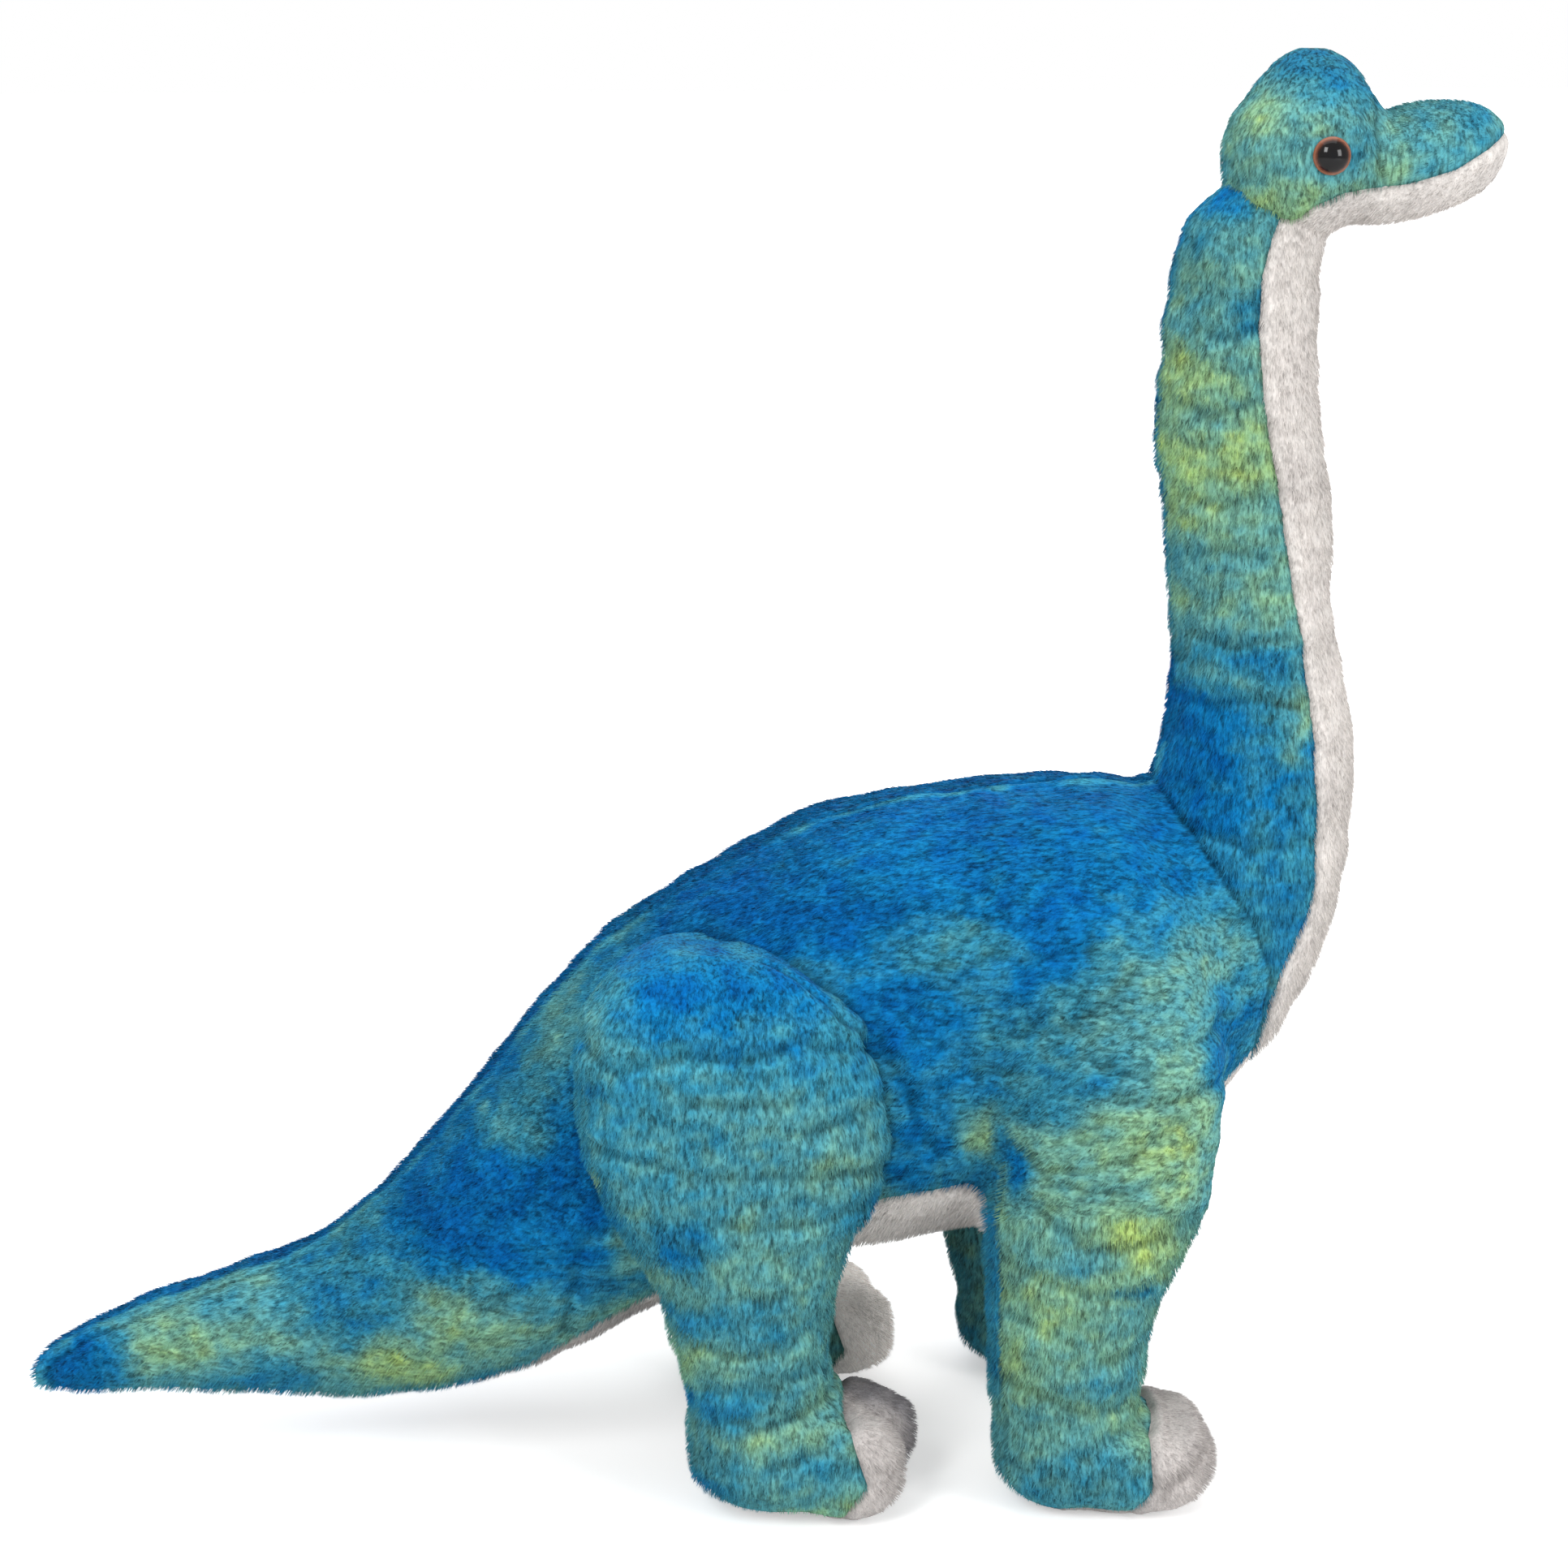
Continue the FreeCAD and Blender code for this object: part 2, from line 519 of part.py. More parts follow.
# Legs ------------------------------------------------------------------------------------------
def leg(name, root_x, disc_r, foot_ahead):
    """A right leg with its foot, and its mirror image."""
    side = "-sizes.leg_side"
    foot_x = f"({root_x} + {foot_ahead})"
    shin_x = f"({root_x} + 0.3 * {foot_ahead})"
    height = "sizes.leg_height"
    disc = nested(f"{name}_disc", "y", [
        ((root_x, "-sizes.leg_reach", height), f"{disc_r} * 0.35"),
        ((root_x, "-sizes.leg_reach + 4", height), f"{disc_r} * 0.72"),
        ((root_x, "-sizes.leg_reach + 12", height), f"{disc_r} * 0.93"),
        ((root_x, "-sizes.leg_side + 6", height), disc_r),
        ((root_x, "-sizes.root_side + 12", height), disc_r),
    ], open_ends=("last",), ruled=False)
    column = nested(f"{name}_column", "z", [
        ((foot_x, side, "2"), "sizes.shin_r * 0.9"),
        ((shin_x, side, "sizes.foot_high * 0.6"), "sizes.shin_r"),
        ((shin_x, side, "sizes.leg_height * 0.42"), "sizes.shin_r"),
        ((root_x, side, "sizes.leg_height * 0.72"), "sizes.leg_top_r"),
        ((root_x, side, "sizes.leg_height * 0.95"), "sizes.leg_top_r * 0.9"),
    ], open_ends=("first",), ruled=False)

    def foot_ring(high, share):
        at = (foot_x, side, f"{high} * sizes.foot_high")
        return (at, f"{share} * sizes.foot_length / 2", f"{share} * sizes.foot_width / 2")

    foot = nested(f"{name}_foot", "z", [
        foot_ring(0, 0.8),
        foot_ring(0.22, 0.93),
        foot_ring(0.55, 1),
        foot_ring(0.8, 0.96),
        foot_ring(1, 0.76),
    ], open_ends=("first",), ruled=False)
    whole = joined(f"{name}_leg", disc, column, foot)
    flank = box(f"{name}_flank", (f"-{FAR}", FAR), ("-(sizes.root_side + sizes.fit_gap)", FAR),
                ("sizes.crotch_z", FAR))
    bottom = box(f"{name}_bottom", (f"-{FAR}", FAR), (f"-{FAR}", FAR), ("-50", "sizes.plush"))
    floor = box(f"{name}_core_floor", (f"-{FAR}", FAR), (f"-{FAR}", FAR),
                ("-50", "sizes.plush + sizes.fit_gap"))
    outer_zone = box(f"{name}_outer_zone", (f"-{FAR}", FAR), (f"-{FAR}", side), ("-50", FAR))
    toe_zone = box(f"{name}_toe_zone", (f"{foot_x} + sizes.toe_seam_ahead", FAR), (f"-{FAR}", FAR),
                   ("-50", "sizes.foot_high * 0.93"))
    solid = cut(f"{name}_solid", whole["skin"], fuse(f"{name}_limit", flank, bottom))
    sides = cut(f"{name}_sides", solid, toe_zone)
    inner_zone = box(f"{name}_inner_zone", (f"-{FAR}", FAR), (side, FAR), ("-50", FAR))
    made = {
        "outer_panel": panel(f"{name}_outer", sides, outer_zone, whole["lining"]),
        "inner_panel": panel(f"{name}_inner", sides, inner_zone, whole["lining"]),
        "toe_cap": panel(f"{name}_toe", solid, toe_zone, whole["lining"]),
        "sole": common(f"{name}_sole_cut", whole["skin"], bottom),
        "stuffing": cut(f"{name}_stuffing_cut", whole["core"],
                        fuse(f"{name}_core_limit", flank, floor)),
    }
    for word, obj in made.items():
        piece(f"{name}_leg_right_{word}", obj)
        piece(f"{name}_leg_left_{word}", mirrored(f"{name}_left_{word}", obj))


leg("hind", "sizes.hip_x", "sizes.thigh_r", "sizes.hind_foot_ahead")
leg("front", SHOULDER_X, "sizes.shoulder_r", "sizes.front_foot_ahead")

# Write -----------------------------------------------------------------------------------------
doc.recompute()
for obj in doc.Objects:
    if "Invalid" in obj.State or "Error" in obj.State:
        raise RuntimeError(f"{obj.Label} failed: {obj.State}")
for obj in pieces:
    if obj.Shape.isNull() or not obj.Shape.isValid():
        raise RuntimeError(f"{obj.Label} has no valid shape")
for obj in pieces:
    solids = obj.Shape.Solids
    print(f"{obj.Label:28s} solids {len(solids)} volume {obj.Shape.Volume / 1000:8.2f} cm3")
    obj.Shape.exportStep(f"parts/{obj.Label}.step")
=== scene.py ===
"""A stuffed long-necked dinosaur in dyed plush, on a plain floor."""
import math

import bpy
import numpy as np
import openvdb
from mathutils import Matrix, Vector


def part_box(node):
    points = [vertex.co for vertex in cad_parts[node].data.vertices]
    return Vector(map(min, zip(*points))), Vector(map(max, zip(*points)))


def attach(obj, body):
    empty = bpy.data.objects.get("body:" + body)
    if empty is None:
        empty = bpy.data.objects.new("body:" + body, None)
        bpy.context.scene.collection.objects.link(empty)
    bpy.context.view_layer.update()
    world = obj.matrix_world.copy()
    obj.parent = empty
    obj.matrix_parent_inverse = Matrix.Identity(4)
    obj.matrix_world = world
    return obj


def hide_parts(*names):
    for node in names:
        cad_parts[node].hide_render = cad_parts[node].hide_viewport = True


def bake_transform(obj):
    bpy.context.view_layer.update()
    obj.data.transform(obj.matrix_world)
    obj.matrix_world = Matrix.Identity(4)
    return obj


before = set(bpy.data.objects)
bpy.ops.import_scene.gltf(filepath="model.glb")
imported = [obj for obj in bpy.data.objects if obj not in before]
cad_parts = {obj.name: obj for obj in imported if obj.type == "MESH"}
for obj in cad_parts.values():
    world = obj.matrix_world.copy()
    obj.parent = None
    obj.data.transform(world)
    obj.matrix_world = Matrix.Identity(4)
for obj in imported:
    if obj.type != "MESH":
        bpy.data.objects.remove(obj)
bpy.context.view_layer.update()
MM = 0.001

CAMERA_PLACE, CAMERA_AHEAD = (-46.0, -1084.1, 494.4), (0.0507, 0.9665, -0.2517)  # mm
# name, place in mm, size in m, watts
LAMPS = [
    ("key", (-900, -1500, 1500), (0.6, 0.9), 23), ("side", (1300, -1300, 800), (0.6, 0.9), 15),
    ("top", (0, 150, 1700), (1.6, 1.4), 11), ("back", (200, 1700, 1200), (1.6, 1.0), 9),
]
LAMPS_AIM = (0, 0, 180)
WORLD_LIGHT = 0.76
FLOOR_HALF, FLOOR_LINES = 6.0, 24  # half a side in m, and the lines along it
GRID_STEP, BLOCK = 1.6, 6  # the grid under a surface: its step in mm, and the steps in a block
OUTSIDE = 9.0  # the grid's value away from the surface
BODY_PILE, HEAD_PILE = 0.0021, 0.0017  # length of the pile, m
HAIRS_PER_MM2, HAIR_RADIUS = 1.5, 0.00017
SPEED_PER_LENGTH = 0.25  # Blender's hair is four times as long as its starting speed
PILE_LEVELS = 6
EYE_R = 0.0056  # m
GREY_PIECES = ("belly", "chest", "throat", "jaw", "toe_cap", "sole")
LEG_PIECES = ("outer", "inner", "toe_cap", "sole")
RIGHT_SIDE = -12  # measured folds are only where y is less, mm
LEG_INSIDE, LEG_BACK, LEG_FRONT = 24, 52, 152  # the front legs' inner side and their ends in x, mm
EYE_BARE, EYE_SHORT = 6.0, 9.5  # about an eye: no pile out to the first, short to the second, mm

# ---------------------------------------------------------------- camera, lights and floor


def look(obj, place, ahead, up=(0, 0, 1)):
    """Puts obj at place, in mm, looking along ahead."""
    f = np.array(ahead, float) / np.linalg.norm(ahead)
    r = np.cross(f, up)
    r /= np.linalg.norm(r)
    u = np.cross(r, f)
    rows = [(r[i], u[i], -f[i], place[i] * MM) for i in range(3)]
    obj.matrix_world = Matrix([*rows, (0, 0, 0, 1)])


def camera():
    data = bpy.data.cameras.new("camera")
    data.lens, data.sensor_width = 85.0, 36.0
    data.clip_start, data.clip_end = 0.05, 30.0
    obj = bpy.data.objects.new("camera", data)
    bpy.context.collection.objects.link(obj)
    look(obj, CAMERA_PLACE, CAMERA_AHEAD)
    bpy.context.scene.camera = obj


def lamp(name, place, size, watts):
    data = bpy.data.lights.new(name, "AREA")
    data.shape, data.size, data.size_y = "RECTANGLE", size[0], size[1]
    data.energy = watts
    obj = bpy.data.objects.new(name, data)
    bpy.context.collection.objects.link(obj)
    look(obj, place, np.subtract(LAMPS_AIM, place))


def nodes_of(owner):
    owner.use_nodes = True
    tree = owner.node_tree
    tree.nodes.clear()
    return tree


def studio():
    world = bpy.data.worlds.new("studio")
    bpy.context.scene.world = world
    tree = nodes_of(world)
    out = tree.nodes.new("ShaderNodeOutputWorld")
    light = tree.nodes.new("ShaderNodeBackground")
    light.inputs["Color"].default_value = (1, 1, 1, 1)
    light.inputs["Strength"].default_value = WORLD_LIGHT
    white = tree.nodes.new("ShaderNodeBackground")
    white.inputs["Color"].default_value = (1, 1, 1, 1)
    mix = tree.nodes.new("ShaderNodeMixShader")
    path = tree.nodes.new("ShaderNodeLightPath")
    seen = tree.nodes.new("ShaderNodeMath")
    seen.operation = "MAXIMUM"
    tree.links.new(path.outputs["Is Camera Ray"], seen.inputs[0])
    tree.links.new(path.outputs["Is Transmission Ray"], seen.inputs[1])
    tree.links.new(seen.outputs[0], mix.inputs[0])
    tree.links.new(light.outputs[0], mix.inputs[1])
    tree.links.new(white.outputs[0], mix.inputs[2])
    tree.links.new(mix.outputs[0], out.inputs["Surface"])
    for row in LAMPS:
        lamp(*row)


def floor():
    data = bpy.data.meshes.new("floor")
    n = FLOOR_LINES
    lines = np.linspace(-FLOOR_HALF, FLOOR_HALF, n)
    xs, ys = np.meshgrid(lines, lines, indexing="ij")
    verts = np.stack([xs.ravel(), ys.ravel(), np.zeros(n * n)], 1)
    i, j = np.meshgrid(np.arange(n - 1), np.arange(n - 1), indexing="ij")
    a = (i * n + j).ravel()
    data.from_pydata(verts.tolist(), [], np.stack([a, a + n, a + n + 1, a + 1], 1).tolist())
    obj = bpy.data.objects.new("floor", data)
    bpy.context.collection.objects.link(obj)
    mat = bpy.data.materials.new("floor_paper")
    tree = nodes_of(mat)
    out = tree.nodes.new("ShaderNodeOutputMaterial")
    base = tree.nodes.new("ShaderNodeBsdfDiffuse")
    base.inputs["Color"].default_value = (0.86, 0.86, 0.86, 1)
    lift = tree.nodes.new("ShaderNodeEmission")
    lift.inputs["Color"].default_value = (1, 1, 1, 1)
    path = tree.nodes.new("ShaderNodeLightPath")
    place = tree.nodes.new("ShaderNodeTexCoord")
    away = tree.nodes.new("ShaderNodeVectorMath")
    away.operation = "LENGTH"
    reach = tree.nodes.new("ShaderNodeMapRange")
    for key, value in zip(("From Min", "From Max", "To Min", "To Max"), (0.4, 1.6, 0.40, 1.0)):
        reach.inputs[key].default_value = value
    tree.links.new(place.outputs["Object"], away.inputs[0])
    tree.links.new(away.outputs["Value"], reach.inputs["Value"])
    level = tree.nodes.new("ShaderNodeMath")
    level.operation = "MULTIPLY"
    tree.links.new(reach.outputs["Result"], level.inputs[1])
    add = tree.nodes.new("ShaderNodeAddShader")
    tree.links.new(path.outputs["Is Camera Ray"], level.inputs[0])
    tree.links.new(level.outputs[0], lift.inputs["Strength"])
    tree.links.new(base.outputs[0], add.inputs[0])
    tree.links.new(lift.outputs[0], add.inputs[1])
    tree.links.new(add.outputs[0], out.inputs["Surface"])
    data.materials.append(mat)


# ---------------------------------------------------------------- fields, in mm


def profile(rows, soft=4.0):
    """Rows by their first number, drawn again every mm and softened."""
    rows = np.array(rows, float)
    s = np.arange(rows[0, 0], rows[-1, 0] + 0.5, 1.0)
    reach = int(3 * soft) + 1
    kernel = np.exp(-0.5 * (np.arange(-reach, reach + 1) / soft) ** 2)
    kernel /= kernel.sum()
    columns = []
    for k in range(1, rows.shape[1]):
        c = np.interp(s, rows[:, 0], rows[:, k])
        first = 2 * c[0] - c[reach:0:-1]
        last = 2 * c[-1] - c[-2 : -reach - 2 : -1]
        columns.append(np.convolve(np.concatenate([first, c, last]), kernel, "valid"))
    return s, columns


def tube(along, a, b, prof, power=2.2):
    """Nearly the distance to a tube. The profile has each section's middle and half sizes."""
    s, (ca, cb, ra, rb) = prof
    at = (along - s[0]).clip(0, len(s) - 1.001)
    i = at.astype(np.int32)
    f = at - i

    def read(c):
        return c[i] * (1 - f) + c[i + 1] * f

    da, db = a - read(ca), b - read(cb)
    ra, rb = read(ra), read(rb)
    r = np.sqrt(da * da + db * db) + 1e-6
    q = ((np.abs(da / r) / ra) ** power + (np.abs(db / r) / rb) ** power) ** (-1 / power)
    d = r - q
    past = np.maximum(s[0] - along, along - s[-1])
    return np.where((past > 0) & (d > 0), np.sqrt(d * d + past * past), np.maximum(d, past))


def egg(x, y, z, centre, half, power=2.0):
    """Nearly the distance to an ellipsoid, or a squarer one for a higher power."""
    q = [(np.abs(v - c) / h) for v, c, h in zip((x, y, z), centre, half)]
    k = (q[0] ** power + q[1] ** power + q[2] ** power) ** (1 / power)
    r = np.sqrt(sum((v - c) ** 2 for v, c in zip((x, y, z), centre))) + 1e-6
    return r - r / np.maximum(k, 1e-6)


def join(a, b, k):
    """The union of two fields with a fillet of about k."""
    h = np.maximum(k - np.abs(a - b), 0) / k
    return np.minimum(a, b) - h * h * k * 0.25


def ramp(v, low, high):
    """0 below low, 1 above high, smooth between."""
    t = ((v - low) / (high - low)).clip(0, 1)
    return t * t * (3 - 2 * t)


def bell(v, width):
    """1 where v is 0, fading over width on both sides."""
    return np.exp(-((v / width) ** 2))


# x, top, bottom, half width
TRUNK = [
    (-223, 29, 21, 5), (-218, 35, 20, 9), (-208, 41, 19.7, 13), (-195, 47.5, 21, 17),
    (-170, 56, 21, 21), (-145, 63.4, 20.5, 24), (-132, 69.6, 19, 27), (-119, 80, 19, 31),
    (-106, 92.7, 20, 36), (-94, 106, 22, 41), (-81, 121.7, 24.6, 45), (-68, 137, 29.5, 48),
    (-55, 153, 36, 51), (-43, 166.3, 41.5, 53), (-30, 175.2, 48, 55), (-10, 187.5, 58, 57),
    (20, 203, 66, 59), (45, 209, 70, 60), (75, 213, 76, 61), (100, 214.2, 85, 60),
    (113, 213.5, 92, 58), (125, 206, 100, 54), (138, 190, 112, 46), (150, 168, 124, 33),
    (157, 154, 134, 20),
]
# z, middle x, half depth, half width
NECK = [
    (120, 129, 16, 18), (140, 139.5, 26.5, 31), (160, 145.8, 31.5, 36), (190, 150.5, 32.8, 37),
    (215, 154.3, 30, 33), (235, 155, 27.7, 29), (257, 153.3, 25.4, 26.5), (280, 150.8, 24.6, 25.5),
    (302, 148.8, 25.3, 25.5), (324, 146.5, 24.6, 25), (346, 146.3, 23.1, 23.5),
    (367, 147.5, 22, 22.5), (378, 149.5, 21.5, 21.5), (388, 153, 18, 18), (396, 157, 12, 12),
]
# z, middle x, half depth, middle y, half width
FORE_LEG = [
    (12, 93, 19, 50.5, 21), (40, 93.6, 23.6, 51, 23.2), (60, 95, 25, 51.5, 24),
    (82, 98.5, 29.6, 51.5, 26), (100, 102.5, 33.5, 51, 27.5), (115, 104, 35, 50, 28),
    (140, 106, 34, 47, 27), (165, 108, 27, 42, 20), (182, 108, 16, 38, 10),
]
HIND_LEG = [
    (12, 1, 20, 50.5, 22), (42, 0, 22.3, 51, 23.5), (54, -2.5, 23.3, 51.5, 24),
    (72, -3, 26, 52, 25), (89, -5.5, 34, 52.5, 26), (99, -5, 41, 52.5, 26.5),
    (118, -6, 45.8, 51.5, 26.5), (143, -8.5, 46, 49.5, 26), (157, -9.5, 41.5, 47, 24.5),
    (168, -12, 31, 44.5, 21.5), (173, -14, 22, 43.5, 18), (176.5, -16, 6, 43, 10),
]
# the far thigh is stuffed a little lower
FAR_HIND_LEG = HIND_LEG[:5] + [
    (99, -5, 40.5, 52, 26.5), (118, -4.5, 43.5, 51, 26.5), (135, -3.5, 41, 49.5, 26),
    (148, -2.5, 35.5, 47, 24), (157, -2, 27, 45, 20), (163, -2, 17, 44, 15), (166, -2, 6, 43, 10),
]
# x, middle z, half height, half width
SNOUT = [
    (160, 396, 16, 19), (175, 396, 16.5, 19.6), (185, 396.4, 16.8, 19.6), (196, 398.2, 17.7, 19),
    (206, 400.4, 16.5, 17.6), (213, 401.4, 14.3, 15.3), (218, 402, 11.5, 12), (221.5, 403, 8, 8),
    (223, 403.5, 4, 4),
]
# z, middle x, half depth, half width
DOME = [
    (374, 160, 5, 7), (378, 160, 14, 16), (386, 161.2, 19.5, 23), (395, 162.7, 23.7, 27.4),
    (404, 163.4, 24.6, 28.3), (412, 164.3, 22.3, 25.6), (419, 165, 18, 21), (425, 164.7, 13, 15),
    (429, 165, 8.5, 9.5), (431.2, 165.3, 3, 3),
]
THIN = 0.9  # the pile's lie outside the cloth


def trunk_profile():
    rows = []
    for x, top, low, w in TRUNK:
        h = (top - low) / 2
        # a rounded back is seen a little higher than it is from above
        rows.append((x, 0, (top + low) / 2, w, math.sqrt(max(h * h - (0.2 * w) ** 2, 9))))
    return profile(rows)


TRUNK_P = trunk_profile()
NECK_P = profile([(z, x, 0, rx, ry) for z, x, rx, ry in NECK])
FORE_P = profile([(z, x, y, rx, ry) for z, x, rx, y, ry in FORE_LEG])
HIND_P = profile([(z, x, y, rx, ry) for z, x, rx, y, ry in HIND_LEG], 2.5)
FAR_HIND_P = profile([(z, x, y, rx, ry) for z, x, rx, y, ry in FAR_HIND_LEG], 2.5)
SNOUT_P = profile([(x, 0, z, w, h) for x, z, h, w in SNOUT], 2.0)
DOME_P = profile([(z, x, 0, rx, ry) for z, x, rx, ry in DOME], 1.6)


def fore_leg(x, y, z):
    d = tube(z, x, y, FORE_P, 2.3)
    foot = egg(x, y, z, (99, 50.5, 15), (25, 24.5, 17), 2.3)
    toe = egg(x, y, z, (117.5, 51, 13.5), (21, 24.5, 15.5), 2.7)
    toe = -join(-toe, 0.85 * (z - 4) - 0.52 * (x - 134), 5)
    return join(join(d, toe, 6), foot, 8)


def hind_leg(prof):
    def field(x, y, z):
        y = np.abs(y)
        d = tube(z, x, y, prof, 2.25 + 0.6 * ramp(z, 90, 125))
        foot = egg(x, y, z, (8, 50.5, 19), (27.5, 25, 20.5), 2.3)
        outer = egg(x, y, z, (27, 62.5, 16), (16.5, 12.5, 17), 2.4)
        inner = egg(x, y, z, (30.5, 39, 18), (17.5, 14, 16), 2.4)
        return join(join(d, foot, 8), join(outer, inner, 2), 4) + THIN

    return field


def trunk(x, y, z):
    d = tube(x, y, z, TRUNK_P, 2.35)
    neck = tube(z, x, y, NECK_P, 2.1)
    d = join(d, neck, 16)
    # the far foot is a little shorter, and its leg leans back
    lean = ramp(z, 20, 60)
    back = (y > 0) * (4 * lean + 5.5 * ramp(x, 100, 120) * (1 - lean))
    return join(d, fore_leg(x + back, np.abs(y), z), 9) + THIN


def head(x, y, z):
    return join(tube(z, x, y, DOME_P, 2.05), tube(x, y, z, SNOUT_P, 2.2), 4) + THIN


def floor_cut(field):
    """The field, resting flat on the floor."""

    def cut(x, y, z):
        return -join(-field(x, y, z), z - 0.4, 4.0)

    return cut


# ---------------------------------------------------------------- noise


def noise(p, size, seed):
    """Smooth noise from about -1 to 1, which changes over size, one number or three."""
    q = p / np.asarray(size, float) + seed * 7.31
    i = np.floor(q).astype(np.int64)
    f = q - i
    u = f * f * f * (f * (f * 6 - 15) + 10)
    total = np.zeros(len(p))
    for dx in (0, 1):
        for dy in (0, 1):
            for dz in (0, 1):
                a, b, c = i[:, 0] + dx, i[:, 1] + dy, i[:, 2] + dz
                h = (a * 73856093) ^ (b * 19349663) ^ (c * 83492791) ^ (seed * 2654435)
                h = (h ^ (h >> 13)) * 1274126177
                h = (h ^ (h >> 16)) & 0xFFFFF
                g = [((h >> k) & 1023) / 511.5 - 1 for k in (0, 5, 10)]
                dot = g[0] * (f[:, 0] - dx) + g[1] * (f[:, 1] - dy) + g[2] * (f[:, 2] - dz)
                w = np.where(dx, u[:, 0], 1 - u[:, 0]) * np.where(dy, u[:, 1], 1 - u[:, 1])
                total += dot * w * np.where(dz, u[:, 2], 1 - u[:, 2])
    return total * 1.4


def layers(p, size, seed, count=3):
    size = np.asarray(size, float)
    return sum(noise(p, size / 2**k, seed + k) / 1.8**k for k in range(count))


# ---------------------------------------------------------------- meshes from fields


def surface(field, low, high):
    """Points and quads of a field's surface, with sides of about GRID_STEP."""
    h = GRID_STEP
    n = BLOCK
    low = np.array(low, float)
    counts = np.ceil((np.array(high) - low) / (h * n)).astype(int)
    at = np.indices(counts).reshape(3, -1).T
    centre = low + (at * n + n / 2) * h
    d = field(*centre.T)
    full = np.where(d > 0, OUTSIDE, -OUTSIDE).astype(np.float32).reshape(counts)
    full = full.repeat(n, 0).repeat(n, 1).repeat(n, 2)
    near = at[np.abs(d) < h * n * 1.5]
    step = np.indices((n, n, n)).reshape(3, -1).T
    spots = (near[:, None, :] * n + step).reshape(-1, 3)
    full[tuple(spots.T)] = field(*(low + spots * h).T)
    grid = openvdb.FloatGrid(OUTSIDE)
    grid.copyFromArray(full)
    points, quads = grid.convertToQuads(0.0)
    return settle(field, low + np.array(points, float) * h), np.array(quads, np.int64)


def slope(field, p, step=0.25):
    """The field at p, and how fast it grows along each axis."""
    here = field(*p.T)
    g = np.stack([field(*(p + d).T) for d in np.eye(3) * step], 1) - here[:, None]
    return here, g / step


def settle(field, p, times=3):
    """p moved onto the surface."""
    for _ in range(times):
        d, g = slope(field, p)
        move = (d / np.maximum((g**2).sum(1), 0.25)).clip(-1.5, 1.5)
        p = p - g * move[:, None]
    return p


def relax(p, quads, times, share=0.5):
    for _ in range(times):
        total = np.zeros_like(p)
        count = np.zeros(len(p))
        for k in range(4):
            for other in ((k + 1) % 4, (k + 3) % 4):
                for axis in range(3):
                    total[:, axis] += np.bincount(quads[:, k], p[quads[:, other], axis], len(p))
                count += np.bincount(quads[:, k], minlength=len(p))
        p = p + share * (total / np.maximum(count, 1)[:, None] - p)
    return p


def halve(p, quads):
    """Each quad cut into four."""
    pairs = np.stack([quads, np.roll(quads, -1, 1)], 2).reshape(-1, 2)
    key = np.sort(pairs, 1)
    key = key[:, 0] * len(p) + key[:, 1]
    unique, index = np.unique(key, return_inverse=True)
    a, b = unique // len(p), unique % len(p)
    mid = (p[a] + p[b]) / 2
    face = p[quads].mean(1)
    e = (len(p) + index).reshape(-1, 4)
    c = len(p) + len(unique) + np.arange(len(quads))
    new = [np.stack([quads[:, k], e[:, k], c, e[:, k - 1]], 1) for k in range(4)]
    return np.concatenate([p, mid, face]), np.concatenate(new)


def normals(p, quads):
    n = np.cross(p[quads[:, 2]] - p[quads[:, 0]], p[quads[:, 3]] - p[quads[:, 1]])
    corners = quads.ravel()
    total = np.stack([np.bincount(corners, np.repeat(n[:, k], 4), len(p)) for k in range(3)], 1)
    return total / np.maximum(np.linalg.norm(total, axis=1), 1e-9)[:, None]


# ---------------------------------------------------------------- seams and panels, in mm
FAR = 99.0


def line(v, rows):
    rows = np.array(rows, float)
    return np.interp(v, rows[:, 0], rows[:, 1])


def back_seam(x, y, z):
    """The seam along the back, which drifts to the right on the tail."""
    return y - line(x, [(-223, -7), (-190, -9), (-150, -6), (-110, -2), (-60, 0), (120, 0)])


def shoulder_seam(x, y, z):
    return 0.76 * (x - line(z, [
        (130, 152), (160, 156), (177, 149), (192, 139), (210, 126), (224, 113.6), (240, 98),
    ]))


def throat_seam(x, y, z):
    return x - line(z, [
        (120, 150), (134, 154.2), (158, 158.4), (174, 165.2), (187, 168.5), (207, 169),
        (232, 166.8), (257, 163.5), (281, 159), (306, 154.6), (330, 149.7), (353, 147.8),
        (367, 148), (378, 151), (400, 160),
    ])


def belly_seam(x, y, z):
    return np.abs(y) - line(x, [
        (-223, -6), (-112, -4), (-100, 9), (-80, 22), (-50, 34), (0, 44), (40, 50), (75, 50.5),
        (100, 42), (120, 31), (140, 27), (165, 26),
    ])


def mouth_seam(x, y, z):
    return z - line(x, [
        (140, 372), (151, 377.6), (163, 386.8), (172, 390.7), (191, 393), (205, 397), (217, 404),
        (224, 408),
    ])


def forehead_seam(x, y, z):
    return x - line(z, [(390, 184.5), (399, 181.5), (407, 180.4), (418, 181.5)])


def fore_side_seam(x, y, z):
    return np.abs(y) - line(x, [(70, 62), (90, 58), (110, 58), (140, 56)])


def hind_side_seam(x, y, z):
    return np.abs(y) - line(x, [(-40, 50), (0, 54), (25, 63), (50, 52)])


def fore_toe_seam(x, y, z):
    return x - line(z, [
        (-5, 107), (3, 112), (12, 117.5), (20, 117), (27, 117), (31, 121), (36, 130), (50, 150),
    ])


def hind_toe_seam(x, y, z):
    return x - line(z, [(-5, 22), (8, 27), (15, 32), (27, 28), (37, 25.5), (43, 27), (50, 33)])


def sole_seam(x, y, z):
    return z - 3.0


